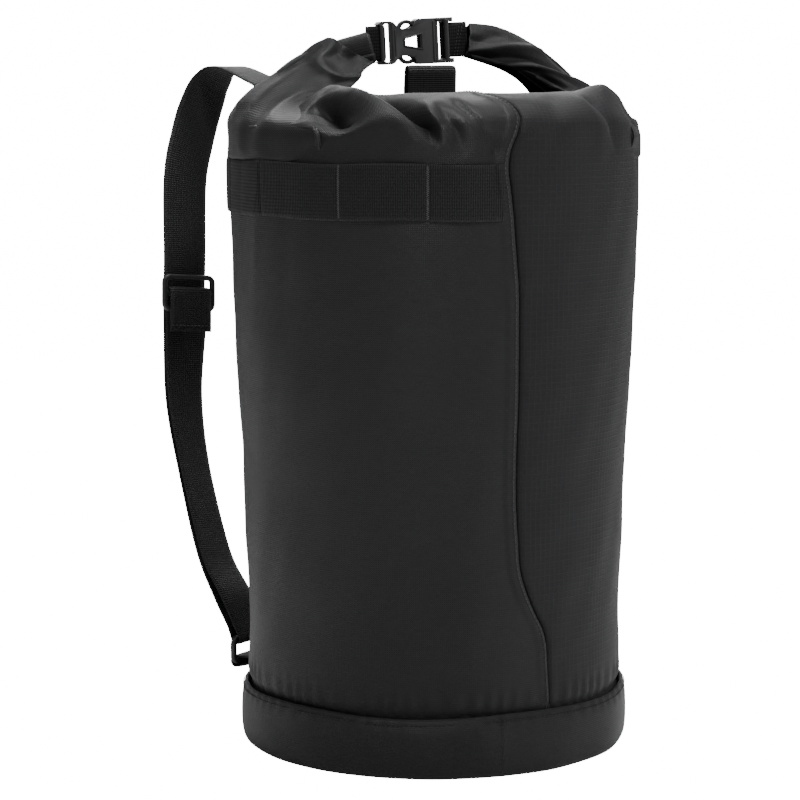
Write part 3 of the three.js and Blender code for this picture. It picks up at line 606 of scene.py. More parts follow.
@dataclass
class Wall:
    """The bag's outer surface by angle round it and distance up it.

    The radius follows a short list of heights. Above the shoulder each point slides in towards
    the straight folded mouth, while a crown over the front and the back swells it upwards.
    """

    radii: tuple = ((0.038, 0.1362), (0.060, 0.1358), (0.098, 0.1348), (0.120, 0.1360),
                    (0.144, 0.1374), (0.200, 0.1380), (0.266, 0.1425), (0.333, 0.1445),
                    (0.388, 0.1468), (0.427, 0.1472), (0.450, 0.1465))
    seam: tuple = ((0.038, 16.5), (0.060, 16.5), (0.098, 15.5), (0.120, 9.5), (0.144, 5.6),
                   (0.200, 4.2), (0.266, 4.0), (0.333, 3.7), (0.388, 1.7), (0.427, -0.3),
                   (0.4425, 2.2), (0.454, 4.0), (0.4775, 3.5), (0.4955, -1.0), (0.53, -6.0),
                   (0.61, -6.0))
    folds: list = field(default_factory=lambda: FOLDS)

    def front_seam(self, v: Array) -> Array:
        """The front seam's angle at a distance up the wall, its corners rounded."""
        heights, angles = np.array(self.seam).T
        reach = np.linspace(-0.009, 0.009, 7)
        return np.mean([np.interp(v + r, heights, angles) for r in reach], axis=0)

    def raw(self, angle: Array, v: Array) -> Array:
        """The smooth surface with no folds."""
        heights, sizes = np.array(self.radii).T
        z, top = np.minimum(v, SHOULDER), np.clip((v - SHOULDER) / ROOF_RUN, 0, 1)
        radius = np.mean([np.interp(z + r, heights, sizes) for r in (-0.016, -0.008, 0, 0.008,
                                                                     0.016)], axis=0)
        turn = np.radians(angle)
        face = np.cos(turn)
        rim = np.stack([radius * np.sin(turn), -radius * face, z], -1)
        wide = np.abs(((angle + 180) % 360) - 180)
        reach = np.clip(np.where(wide <= 90, wide, 180 - wide) / 84, 0, 1)
        side = np.where(np.sin(turn) < 0, -1, 1)
        edge = np.stack([side * reach * 0.133, MOUTH_Y - 0.004 * np.clip(face * 12, -1, 1),
                         np.full_like(turn, 0.418)], -1)
        inward = (top ** (1 + 0.5 * face * face))[..., None]
        point = rim + (edge - rim) * inward
        front = 1 - smooth(34, 82, wide)
        back = 0.75 * (1 - smooth(34, 82, 180 - wide))
        crown = 0.002 + 0.034 * np.maximum(front, back)
        point[..., 2] = rim[..., 2] + (edge[..., 2] - rim[..., 2]) * top + crown * np.sin(
            np.pi * top)
        return point

    def base(self, angle: Array, v: Array) -> Array:
        """The smooth surface, its shoulder rounded by averaging along the wall."""
        steps = np.array([-0.010, -0.005, 0, 0.005, 0.010])
        share = np.array([1, 2, 3, 2, 1]) / 9
        keep = smooth(0.40, 0.44, v) * (1 - smooth(0.58, 0.60, v))
        return sum(w * self.raw(angle, v + s * keep) for w, s in zip(share, steps))

    def normal(self, angle: Array, v: Array) -> Array:
        """The outward direction of the smooth surface."""
        v = np.clip(v, 0.039, SHOULDER + ROOF_RUN - 0.004)
        around = self.base(angle + 0.3, v) - self.base(angle - 0.3, v)
        up = self.base(angle, v + 0.002) - self.base(angle, v - 0.002)
        return unit(np.cross(around, up))

    def relief(self, angle: Array, v: Array) -> Array:
        """How far folds, slack and seams lift the cloth off the smooth surface."""
        u = np.radians(((angle + 180) % 360) - 180) * 0.146
        u = np.where(angle > 180, np.radians(angle) * 0.146, u)
        height = sum(fold.relief(u, v) for fold in self.folds)
        slack = 0.0009 * ripples(u, v * 0.55, 3, 0.13) + 0.00035 * ripples(u, v, 8, 0.045)
        height = height + slack * smooth(0.04, 0.09, v)
        base_pucker = 0.0006 * np.sin(u / 0.0021 + 2 * np.sin(u / 0.013)) * bell(v, 0.052, 0.008)
        tuck = -0.0030 * bell(v, 0.043, 0.0045)
        from_seam = (angle - self.front_seam(v)) * np.pi / 180 * 0.146
        pucker = 0.00055 * ripples(v * 0 + 1, v, 5, 0.016) * bell(np.abs(from_seam), 0.008, 0.008)
        groove = -0.0020 * bell(from_seam, 0.0004, 0.0016)
        allowance = 0.0008 * smooth(-0.010, -0.008, from_seam) * (from_seam < 0)
        sides = np.minimum(np.abs(angle - SEAM_ANGLE), np.abs(angle + SEAM_ANGLE))
        sides = np.minimum(sides, np.abs(angle - 360 + SEAM_ANGLE)) * np.pi / 180 * 0.146
        side_groove = -0.0022 * bell(sides, 0, 0.0022) + 0.0007 * bell(sides, 0.006, 0.003)
        return height + base_pucker + tuck + pucker + groove + allowance + side_groove

    def point(self, angle: Array, v: Array, lift: float | Array = 0.0) -> Array:
        """A point of the finished cloth, or lifted off it."""
        angle, v = np.broadcast_arrays(np.asarray(angle, float), np.asarray(v, float))
        rise = (self.relief(angle, v) + lift)[..., None]
        return self.base(angle, v) + self.normal(angle, v) * rise


WALL = Wall()


def soft(thing: bpy.types.Object, flat: tuple) -> None:
    """Logs a piece's area as a share of the flat size of cloth or webbing it is cut from."""
    LOG.info("cloth %s %.2f", thing.name, surface_area(thing) / (flat[0] * flat[1]))


def surface_area(thing: bpy.types.Object) -> float:
    """Half of a thin closed piece's area, which is the area of one face of the cloth."""
    sizes = np.empty(len(thing.data.polygons))
    thing.data.polygons.foreach_get("area", sizes)
    return float(sizes.sum() / 2)


def place(thing: bpy.types.Object, finish: Finish, body: str, *nodes: str) -> bpy.types.Object:
    """Finishes a piece, puts it on a body and hides the nodes it stands for."""
    finish.wear(thing)
    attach(thing, body)
    if nodes:
        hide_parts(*nodes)
    return thing


def bend(thing: bpy.types.Object, finish: Finish, bodies: tuple, start: tuple, end: tuple,
         *nodes: str) -> bpy.types.Object:
    """Finishes a piece, bakes its placement into its mesh and hides the nodes it stands for."""
    finish.wear(thing)
    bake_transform(thing)
    if nodes:
        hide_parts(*nodes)
    return thing


def box_middle(node: str) -> Array:
    """The middle of a node's box."""
    low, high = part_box(node)
    return (np.array(low) + np.array(high)) / 2


# ---- the body ------------------------------------------------------------------
@dataclass
class Body:
    """The three panels of the wall and roof, their tapes and their stitching."""

    rows: Array = field(default_factory=lambda: np.concatenate([
        np.linspace(WALL_FOOT, 0.415, 100), np.linspace(0.4165, 0.53, 76),
        np.linspace(0.534, SHOULDER + ROOF_RUN, 18)]))

    def panel(self, name: str, low: Array, high: Array, columns: int, finish: Finish,
              span: float) -> bpy.types.Object:
        """One panel between two edges given as angles on every row.

        It is cut as a rectangle: its share of the tube's girth wide, span being that share in
        degrees, and as high as the wall and roof run. The mouth gathers it.
        """
        share = np.linspace(0, 1, columns)[:, None]
        angle = low[None] * (1 - share) + high[None] * share
        v = np.broadcast_to(self.rows, angle.shape)
        grid = WALL.point(angle, v)
        uv = np.stack([np.radians(angle) * 0.146, v], -1)
        thing = shell(name, grid, uv, CLOTH)
        place(thing, finish, "bag", name)
        soft(thing, (span / 360 * GIRTH, WALL_RUN))
        return thing

    def build(self) -> list:
        """The panels; the heavy front one laps over the ripstop one at the front seam."""
        seam = WALL.front_seam(self.rows)
        side = np.full_like(seam, SEAM_ANGLE)
        return [
            self.panel("front_left_panel", -side + 0.1, seam - 0.08, 200, HEAVY, SEAM_ANGLE),
            self.panel("front_right_panel", seam + 0.08, side - 0.1, 180, RIPSTOP, SEAM_ANGLE),
            self.panel("back_panel", side + 0.1, 360 - side - 0.1, 140, HEAVY,
                       360 - 2 * SEAM_ANGLE),
        ]

    def seam_row(self, name: str, angle: Array, v: Array, lift: float = 0.0002,
                 **thread: float) -> bpy.types.Object:
        """A row of stitches along angles and distances on the wall."""
        thing = stitches(name, WALL.point(angle, v, lift), WALL.normal(angle, v), **thread)
        return place(thing, THREAD, "bag")

    def dress(self) -> list:
        """Stitching along the three upright seams."""
        v = np.linspace(0.052, 0.545, 420)
        pieces = [
            self.seam_row("front seam stitching", WALL.front_seam(v) - 1.25, v),
            self.seam_row("left seam stitching", np.full_like(v, -SEAM_ANGLE + 2.1), v),
            self.seam_row("right seam stitching", np.full_like(v, SEAM_ANGLE - 2.1), v),
        ]
        return pieces

    def tapes(self) -> list:
        """Binding tape inside the three upright seams."""
        made = []
        v = np.linspace(0.062, 0.425, 90)
        seams = {"front_seam_tape": WALL.front_seam(v), "left_seam_tape": v * 0 - SEAM_ANGLE,
                 "right_seam_tape": v * 0 + SEAM_ANGLE}
        for name, angle in seams.items():
            across = np.linspace(-2.6, 2.6, 7)[:, None]
            grid = WALL.point(angle[None] + across, v[None] + 0 * across, -0.0042)
            uv = np.stack(np.broadcast_arrays(across * 0.00255, v[None]), -1)
            thing = place(shell(name, grid, uv, 0.0008), TAPE, "bag", name)
            soft(thing, (0.0135, 0.37))
            made.append(thing)
        return made


@dataclass
class Base:
    """The round base: band with a rolled upper edge, floor, stiffener board and binding."""

    outline: tuple = ((0.1290, 0.0012), (0.1330, 0.0006), (0.1372, 0.0010), (0.1396, 0.0034),
                      (0.1409, 0.0085), (0.1415, 0.0160), (0.1415, 0.0260), (0.1409, 0.0350),
                      (0.1394, 0.0415), (0.1380, 0.0440), (0.1368, 0.0438), (0.1362, 0.0410),
                      (0.1375, 0.0300), (0.1378, 0.0160), (0.1368, 0.0080), (0.1345, 0.0045),
                      (0.1290, 0.0034))

    def turned(self, profile: Array, turns: int = 360, wobble: float = 0.0) -> tuple:
        """Loops of a profile turned about the bag's axis, its cloth a little uneven."""
        angle = np.linspace(0, 2 * np.pi, turns, endpoint=False)[:, None]
        radius, z = profile[:, 0][None], profile[:, 1][None]
        cloth = wobble * (ripples(np.sin(angle) * 0.3, np.cos(angle) * 0.3 + z * 2, 4, 0.09)
                          + 0.45 * np.sin(angle * 66 + 2 * np.sin(angle * 9)) * bell(z, 0.042,
                                                                                    0.006))
        radius = radius + cloth * smooth(0.132, 0.139, radius)
        z = z + wobble * 1.5 * smooth(0.030, 0.044, z) * np.sin(angle * 5 + 1)
        loops = np.stack(np.broadcast_arrays(radius * np.sin(angle), -radius * np.cos(angle), z),
                         -1)
        run = np.concatenate([[0], np.cumsum(np.linalg.norm(np.diff(profile, axis=0), axis=1))])
        return loops, np.stack(np.broadcast_arrays(angle * 0.142, run[None]), -1)

    def disc(self, name: str, low: float, high: float, radius: float, finish: Finish) -> None:
        """A flat round piece with a rounded rim."""
        edge = min(0.001, (high - low) / 2)
        profile = np.array([[0.002, low], [radius - edge, low], [radius, low + edge],
                            [radius, high - edge], [radius - edge, high], [0.002, high]])
        loops, uv = self.turned(profile, 160)
        loops = loops.transpose(1, 0, 2)[::-1]
        thing = tube(name, loops, uv.transpose(1, 0, 2)[::-1])
        place(thing, finish, "bag", name)

    def build(self) -> None:
        """Band, floor, board and binding."""
        shares = np.linspace(0, 1, 64)
        profile = through(self.outline, shares)
        loops, uv = self.turned(profile, 420, 0.0006)
        band_piece = place(tube("base_band", loops, uv, closed=True), HEAVY, "bag", "base_band")
        soft(band_piece, (0.066, 0.90))
        self.disc("base_panel", 0.0, 0.0019, 0.1292, HEAVY)
        self.disc("base_stiffener", 0.0023, 0.0043, 0.128, BOARD)
        strip = np.array([[0.1324, 0.036], [0.1336, 0.036], [0.1336, 0.052], [0.1324, 0.052]])
        loops, uv = self.turned(strip, 160)
        binding = tube("base_seam_binding", loops, uv, closed=True)
        place(binding, TAPE, "bag", "base_seam_binding")
        soft(binding, (0.016, 0.84))

    def dress(self) -> None:
        """Stitches round the upper edge of the band."""
        angle = np.linspace(0, 2 * np.pi, 900)
        z = 0.0405 + 0.0009 * np.sin(angle * 5 + 1)
        out = np.stack([np.sin(angle), -np.cos(angle), 0 * angle], -1)
        line = out * 0.1402 + np.stack([0 * z, 0 * z, z], -1)
        place(stitches("band stitching", line, out), TAPE, "bag")


# ---- webbing on the wall -------------------------------------------------------------
@dataclass
class DaisyChain:
    """The webbing round the front left: loops that stand off the wall between bar tacks."""

    tacks: tuple = (-121.5, -97.0, -73.0, -45.8, -21.6, -1.6)
    low: float = 0.3862
    high: float = 0.4243

    def lift(self, angle: Array, v: Array) -> Array:
        """How far the webbing stands off: pressed at the tacks, slightly bowed between them."""
        between = np.interp(angle, self.tacks, np.arange(len(self.tacks)))
        bow = np.sin(np.pi * np.clip(between, 0, len(self.tacks) - 1)) ** 2
        pressed = -0.0009 * np.exp(-(np.min(np.abs(angle[..., None] - np.array(self.tacks)), -1)
                                     / 0.7) ** 2)
        end = -0.0040 * smooth(-1.6, 0.1, angle)
        edge = 2 * np.abs(v - (self.low + self.high) / 2) / (self.high - self.low)
        return 0.0017 + 0.0008 * bow + pressed + end - 0.0006 * edge**8

    def build(self) -> bpy.types.Object:
        """The webbing as one piece."""
        angle = np.linspace(-124, 0.1, 330)[:, None]
        v = np.linspace(self.low, self.high, 22)[None]
        sag = 0.0006 * np.sin(np.radians(angle) * 9)
        angle, v = np.broadcast_arrays(angle, v + sag)
        grid = WALL.point(angle, v, self.lift(angle, v))
        uv = np.stack([np.radians(angle) * 0.147, v], -1)
        thing = place(shell("daisy_chain", grid, uv, WEBBING), WEB, "bag", "daisy_chain")
        soft(thing, (STRAP_WIDTH, 0.320))
        return thing

    def dress(self) -> None:
        """Bar tacks: dense zigzag stitching across the webbing."""
        for number, angle in enumerate(self.tacks[:-1]):
            v = np.linspace(self.low + 0.0015, self.high - 0.0015, 60)
            turn = np.full_like(v, angle)
            line = WALL.point(turn, v, self.lift(turn, v) + 0.0001)
            wide = 0.0004 if number == 2 else 0.0011
            tack = stitches(f"bar tack {number + 1}", line, WALL.normal(turn, v), 0.0007, 0.0022,
                            0.00022, wide)
            place(tack, THREAD if number == 2 else TACK, "bag")


# ---- the rolled mouth ----------------------------------------------------------------------
@dataclass
class MouthRoll:
    """The mouth rolled down and bent up at both ends: a spiral of cloth carried along a line."""

    line: tuple = ((-43, 503), (-70.5, 496), (-90, 488), (-110, 474), (-123, 457), (-117, 440),
                   (-98, 433), (-50, 433), (0, 433), (50, 433), (96, 433), (114, 440),
                   (119, 457), (108, 473.5), (89, 488.5), (68, 500.5), (37, 508))
    turns: float = 2.7
    half_high: float = 0.0128
    half_wide: float = 0.0070
    core: float = 0.34

    def frames(self, shares: Array) -> tuple:
        """Origin, outward and across directions of the roll at shares of its length."""
        flat = np.array(self.line, float) / 1000
        dense = through(flat, np.linspace(0, 1, 800))
        run = np.concatenate([[0], np.cumsum(np.linalg.norm(np.diff(dense, axis=0), axis=1))])
        x, z = (np.interp(shares * run[-1], run, dense[:, k]) for k in (0, 1))
        origin = np.stack([x, np.full_like(x, MOUTH_Y), z], -1)
        along = unit(np.gradient(origin, axis=0))
        out = np.stack([along[:, 2], 0 * x, -along[:, 0]], -1)
        return origin, out, np.cross(along, out), run[-1]

    def spiral(self, name: str, low: float, high: float, seed: int) -> bpy.types.Object:
        """A length of the roll as a spiral sheet, softly wrinkled."""
        shares = np.linspace(low, high, int((high - low) * 190))
        origin, out, across, length = self.frames(shares)
        turn = np.linspace(0, self.turns * 2 * np.pi, 100)
        grow = self.core + (1 - self.core) * turn / turn[-1]
        power = 0.78
        high_part = np.sign(np.cos(turn)) * np.abs(np.cos(turn)) ** power * grow * self.half_high
        wide_part = np.sign(np.sin(turn)) * np.abs(np.sin(turn)) ** power * grow * self.half_wide
        bent = 1 - 0.25 * np.exp(-(((np.abs(shares - 0.5) - 0.245) / 0.06) ** 2))
        u = shares[:, None] * length
        soft_wave = 1 + 0.05 * ripples(u, turn[None] * 0.004, seed, 0.035)
        grid = (origin[:, None] + out[:, None] * (high_part * bent[:, None] * soft_wave)[..., None]
                + across[:, None] * (wide_part * soft_wave)[..., None])
        grid = grid[:, ::-1]
        uv = np.stack(np.broadcast_arrays(u, turn[None, ::-1] * 0.0095), -1)
        return shell(name, grid, uv, 0.0011)

    def build(self) -> None:
        """The fixed part, the right arm and the board inside."""
        main = place(self.spiral("rolled_mouth", 0.0, 0.665, 11), HEAVY, "bag", "rolled_mouth")
        soft(main, (0.665 * GIRTH / 2, self.turns * ROLL_TURN))
        arm = bend(self.spiral("right_mouth_arm", 0.6665, 0.988, 12), RIPSTOP,
                   ("bag", "buckle_plug"), (0.119, 0.015, 0.452), (0.045, 0.015, 0.508),
                   "right_mouth_arm")
        soft(arm, (0.322 * GIRTH / 2, self.turns * ROLL_TURN))
        x = np.linspace(-0.088, 0.088, 30)
        line = np.stack([x, x * 0 + MOUTH_Y, x * 0 + 0.433], -1)
        board = band("mouth_stiffener", line, np.array([0, 0, 1.0]), 0.007, 0.0012)
        place(board, BOARD, "bag", "mouth_stiffener")


@dataclass
class Ear:
    """Cloth drawn up over one arm of the roll and fanning out down to the shoulder.

    Outer is the fold along its top, inner its front edge; both run from the tip down, in
    millimetres. The back half mirrors the front one about the folded mouth.
    """

    name: str
    side: int
    outer: tuple
    inner: tuple
    creases: tuple
    finish: Finish
    seed: int

    def crease(self, a: Array, b: Array, path: tuple, height: float, width: float) -> Array:
        """A raised or sunken line through places on the ear, its sides falling like a bell."""
        line = through(np.array(path), np.linspace(0, 1, 60))
        near = np.full(a.shape, 9.0)
        for x, y in line:
            near = np.minimum(near, (a - x) ** 2 * 1.6 + (np.abs(b) - y) ** 2 * 0.45)
        return height * np.exp(-near / width**2) * (b > 0)

    def grid(self) -> tuple:
        """Points of the ear, tip to root by front edge to back edge, and their uv."""
        a = np.linspace(0, 1, 110)[:, None]
        b = np.linspace(-1.10, 1.10, 133)[None]
        a, b = np.broadcast_arrays(a, b)
        reach = np.clip(np.abs(b), 0, 1)
        outer = through(np.array(self.outer) / 1000, a[:, 0])[:, None]
        inner = through(np.array(self.inner) / 1000, a[:, 0])[:, None]
        back = inner * [1, -1, 1] + [0, 2 * MOUTH_Y, 0]
        edge = np.where((b >= 0)[..., None], inner, back)
        point = outer + (edge - outer) * (reach**0.92)[..., None]
        facing = np.where(b >= 0, -1.0, 1.0)
        swell = 0.0050 + 0.0075 * smooth(0.05, 0.5, a)
        dome = np.sin(np.pi * reach**0.75) * swell
        point[..., 1] += facing * dome
        point[..., 0] += self.side * 0.4 * dome * smooth(0.35, 0.7, a)
        root = smooth(0.60, 0.80, a)
        angle = self.side * (94 + np.where(b >= 0, -43.0, 56.0) * reach)
        v = 0.462 - 0.040 * smooth(0.55, 1.0, a)
        lift = 0.0016 - 0.0034 * smooth(0.90, 0.99, a)
        lift = lift - 0.0040 * smooth(0.70, 1.0, reach) * smooth(0.78, 0.92, a)
        down = WALL.base(angle, v) + WALL.normal(angle, v) * lift[..., None]
        point = point + (down - point) * root[..., None]
        normal = self.outward(point)
        relief = sum(self.crease(a, b, *one) for one in self.creases)
        fan = 0.0005 * np.sin(reach * 17 + 1.2 * a * 5 + self.seed) * smooth(0.15, 0.5, a)
        fan = fan * (1 - smooth(0.80, 0.97, a)) * np.sin(np.pi * np.clip(reach, 0, 1)) ** 0.5
        wave = 0.0008 * ripples(b * 0.09, a * 0.10, self.seed, 0.045) * (1 - smooth(0.75, 0.95, a))
        point = point + normal * (relief + fan + wave)[..., None]
        tuck = np.clip(np.abs(b) - 1, 0, 1) / 0.10
        point = point - normal * (0.0065 * tuck * (1 - 0.6 * smooth(0.8, 1, a)))[..., None]
        point = point + (outer - edge) * (0.05 * np.sin(np.pi * tuck * 0.9))[..., None]
        return point, np.stack([b * 0.085, a * 0.13], -1)

    def outward(self, point: Array) -> Array:
        """Normals of the ear, away from the roll."""
        return grid_normals(point) * -self.side

    def build(self) -> bpy.types.Object:
        """The ear as a sheet with thickness."""
        point, uv = self.grid()
        thing = shell(self.name, point, uv, 0.0012, self.outward(point))
        return thing


LEFT_EAR = Ear(
    "left_ear", -1,
    ((-75, 15, 509), (-86, 15, 504.5), (-100, 15, 495), (-114, 15, 485.5), (-131, 15, 473),
     (-142, 14, 462), (-147, 12, 451), (-147, 9, 441), (-147, 5, 432)),
    ((-44, 4, 491), (-53, -1, 486), (-58, -6, 480), (-65, -11, 475), (-78, -20, 469),
     (-95, -34, 463), (-120, -72, 453), (-118, -88, 443), (-114, -93, 436)),
    ((((0.03, 0.10), (0.12, 0.22), (0.22, 0.24), (0.29, 0.50), (0.30, 0.75), (0.25, 0.95)),
      0.0034, 0.060),
     (((0.06, 0.55), (0.16, 0.60)), -0.0032, 0.12),
     (((0.42, 0.30), (0.70, 0.40)), -0.0016, 0.09),
     (((0.36, 0.95), (0.55, 0.55), (0.85, 0.45)), 0.0014, 0.06),
     (((0.30, 0.12), (0.60, 0.18), (0.85, 0.22)), 0.0012, 0.05)),
    HEAVY, 2)

RIGHT_EAR = Ear(
    "right_ear", 1,
    ((33, 15, 520), (54, 15, 517.5), (75, 15, 509.5), (90, 15, 499), (104, 15, 487),
     (118, 14, 475), (134, 12, 463), (145, 9, 449), (146.5, 5, 436)),
    ((27, 6, 497), (45, 3, 492), (62, -1, 487), (76, -6, 481), (89, -15, 473), (103, -34, 463),
     (112, -70, 455), (118, -86, 447), (117, -90, 437)),
    ((((0.02, 0.85), (0.18, 0.45), (0.34, 0.15)), 0.0030, 0.05),
     (((0.10, 0.95), (0.26, 0.62), (0.46, 0.30)), -0.0030, 0.06),
     (((0.22, 0.95), (0.38, 0.60), (0.60, 0.30)), 0.0028, 0.05),
     (((0.05, 0.45), (0.12, 0.20)), -0.0020, 0.05),
     (((0.45, 0.90), (0.70, 0.45)), -0.0018, 0.07)),
    RIPSTOP, 5)


# ---- the closure --------------------------------------------------------------------------------
@dataclass
class Closure:
    """The side release buckle, its moulded details and the webbing folded round its two bars."""

    origin: tuple = (0.005, MOUTH_Y, 0.5073)
    slope: float = np.radians(3)

    def world(self, points: Array) -> Array:
        """Buckle coordinates in millimetres turned and moved to where the buckle is."""
        points = np.asarray(points, float) / 1000
        c, s = np.cos(self.slope), np.sin(self.slope)
        x, y, z = points[..., 0], points[..., 1], points[..., 2]
        return np.stack([x * c - z * s, y, x * s + z * c], -1) + np.array(self.origin)

    def moulded(self, node: str, body: str, width: float) -> bpy.types.Object:
        """A rounded piece of plastic in the shape of one of the buckle's nodes."""
        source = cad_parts[node]
        mesh = source.data.copy()
        mesh.transform(source.matrix_world)
        work = bmesh.new()
        work.from_mesh(mesh)
        bmesh.ops.remove_doubles(work, verts=work.verts, dist=1e-6)
        bmesh.ops.dissolve_limit(work, angle_limit=0.02, verts=work.verts, edges=work.edges)
        work.to_mesh(mesh)
        work.free()
        mesh.polygons.foreach_set("use_smooth", [True] * len(mesh.polygons))
        thing = bpy.data.objects.new(f"{node}_moulding", mesh)
        bpy.context.scene.collection.objects.link(thing)
        rounding = thing.modifiers.new("rounded edges", "BEVEL")
        rounding.width = width
        rounding.segments = 3
        rounding.limit_method = "ANGLE"
        rounding.angle_limit = 0.5
        rounding.harden_normals = True
        return place(thing, PLASTIC, body, node)

    def rod(self, name: str, points: list, radius: float, body: str,
            closed: bool = False) -> bpy.types.Object:
        """A rounded moulded rib along points given in buckle millimetres."""
        line = np.array(points, float)
        if closed:
            line = np.vstack([line, line[:1]])
        line = even(line, 0.6)[:-1] if closed else even(line, 0.6)
        line = self.world(line)
        if closed:
            along = unit(np.roll(line, -1, 0) - np.roll(line, 1, 0))
        else:
            along = unit(np.gradient(line, axis=0))
        up = np.array([0, 1.0, 0])
        side = unit(np.cross(along, up))
        turn = np.linspace(0, 2 * np.pi, 10, endpoint=False)[None, :, None]
        loops = line[:, None] + radius * (side[:, None] * np.cos(turn) + up * np.sin(turn))
        return place(tube(name, loops, closed=closed), PLASTIC, body)

    def tab(self, name: str, bar: float, end: float, heading: int) -> bpy.types.Object:
        """Webbing that comes out of the roll, turns round a bar and goes back."""
        turn = np.linspace(-np.pi / 2, np.pi / 2, 14)
        radius = 3.4 if heading > 0 else 2.5
        arc = np.stack([bar + heading * radius * np.cos(turn), radius * np.sin(turn), 0 * turn],
                       -1)
        first = [[end, -1.6, 0], [(end + bar) / 2, -2.2, 0]]
        last = [[(end + bar) / 2, 2.2, 0], [end, 1.6, 0]]
        line = even(self.world(np.vstack([first, arc, last])), 0.0008)
        across = self.world([0, 0, 1000]) - self.world([0, 0, 0])
        return band(name, line, across, CLOSURE_WIDTH, 0.0016)

    def build(self) -> None:
        """The moulded halves, the prongs and the webbing."""
        self.moulded("buckle_female", "bag", 0.0009)
        self.moulded("buckle_male", "buckle_plug", 0.0008)
        self.moulded("buckle_upper_prong", "upper_prong", 0.0007)
        self.moulded("buckle_lower_prong", "lower_prong", 0.0007)
        left = place(self.tab("left_buckle_tab", -40.75, -50.5, 1), WEB, "bag", "left_buckle_tab")
        soft(left, (CLOSURE_WIDTH, 2 * 0.0098 + np.pi * 0.0034))
        right = bend(self.tab("right_buckle_tab", 8.3, 25, -1), WEB, ("bag", "buckle_plug"),
                     (0.075, 0.015, 0.500), (0.040, 0.015, 0.508), "right_buckle_tab")
        soft(right, (CLOSURE_WIDTH, 2 * 0.0167 + np.pi * 0.0025))

    def dress(self) -> None:
        """Rims, ribs and grips on the plastic, stitching on the webbing."""
        for face in (-1, 1):
            word = "front" if face < 0 else "back"
            y = face * 5.05
            window = [[-10.2, y, 5.6], [-10.2, y, -5.6], [-23.8, y, -2.9], [-23.8, y, 2.9]]
            self.rod(f"{word} window rim", window, 0.0007, "bag", True)
            self.rod(f"{word} mouth lip", [[-1.3, y, -14.5], [-1.3, y, 14.5]], 0.0008, "bag")
            self.rod(f"{word} shoulder rib", [[-30.5, y, -9.5], [-30.5, y, 9.5]], 0.0006, "bag")
            for k in range(3):
                x = 4.0 - 0.9 * k
                self.rod(f"{word} grip {k + 1}", [[x - 2.4, y * 0.98, 14.4], [x - 2.4, y * 0.98,
                                                                              15.7]],
                         0.0003, "buckle_plug")
            for end in (-1, 1):
                rail = [[x, y * 1.02, end * 15.0] for x in (0.6, 10.2)]
                self.rod(f"{word} {end} male rail", rail, 0.0010, "buckle_plug")
            self.rod(f"{word} outer bar", [[8.6, y, -15.0], [8.6, y, 15.0]], 0.0019,
                     "buckle_plug")
            self.rod(f"{word} socket bar", [[-40.6, y * 0.94, -13.4], [-40.6, y * 0.94, 13.4]],
                     0.0015, "bag")
        out = np.array([0, -1.0, 0])
        slant = np.stack([np.linspace(14.5, 19.5, 20), np.full(20, -3.1), np.linspace(
            -11, 11, 20)], -1)
        for k in range(2):
            line = self.world(slant + [2.2 * k, 0, 0])
            thread = stitches(f"right tab stitching {k + 1}", line, np.broadcast_to(
                out, line.shape), 0.0024, 0.0018, 0.0003)
            bend(thread, THREAD, ("bag", "buckle_plug"), (0.075, 0.015, 0.500),
                 (0.040, 0.015, 0.508))


# ---- hang loop and yoke ----------------------------------------------------------
@dataclass
class HangLoop:
    """A loop of webbing standing on a sewn patch behind the mouth."""

    x: float = 0.028
    y: float = 0.085
    top: float = 0.4888
    half: float = 0.0045

    def roof(self, x: Array, y: Array) -> Array:
        """Height of the roof over places on it, read off a close grid of the back."""
        angle, v = np.meshgrid(np.linspace(120, 240, 160), np.linspace(0.452, 0.605, 110))
        points = WALL.point(angle, v).reshape(-1, 3)
        flat = np.stack([x.ravel(), y.ravel()], -1)
        gaps = ((points[None, :, :2] - flat[:, None]) ** 2).sum(-1)
        return points[gaps.argmin(1), 2].reshape(x.shape)

    def build(self) -> None:
        """The loop and its patch."""
        turn = np.linspace(np.pi, 0, 16)
        arc = np.stack([self.y + self.half * np.cos(turn),
                        self.top - self.half + self.half * np.sin(turn)], -1)
        foot = 0.462
        profile = np.vstack([[[self.y - self.half - 0.001, foot]], arc,
                             [[self.y + self.half + 0.001, foot]]])
        line = even(np.column_stack([np.full(len(profile), self.x), profile]), 0.0008)
        line[:, 1] += 0.0006 * np.sin((line[:, 2] - foot) * 190)
        loop = band("hang_loop", line, np.array([1.0, 0, 0]), STRAP_WIDTH)
        bend(loop, WEB, ("bag", "hang_loop"), (self.x, self.y, foot + 0.001),
             (self.x, self.y, foot + 0.009), "hang_loop")
        soft(loop, (STRAP_WIDTH, 0.062))
        xs = self.x + np.linspace(-0.022, 0.022, 24)[:, None]
        ys = self.y + np.linspace(-0.011, 0.011, 14)[None]
        xs, ys = np.broadcast_arrays(xs, ys)
        zs = self.roof(xs, ys)
        zs = (zs + np.roll(zs, 1, 0) + np.roll(zs, -1, 0)) / 3
        grid = np.stack([xs, ys, np.maximum(zs, zs.mean() - 0.004) + 0.0022], -1)
        patch = shell("hang_loop_patch", grid, grid[..., :2], 0.0016)
        place(patch, WEB, "bag", "hang_loop_patch")
        soft(patch, (0.044, 0.022))


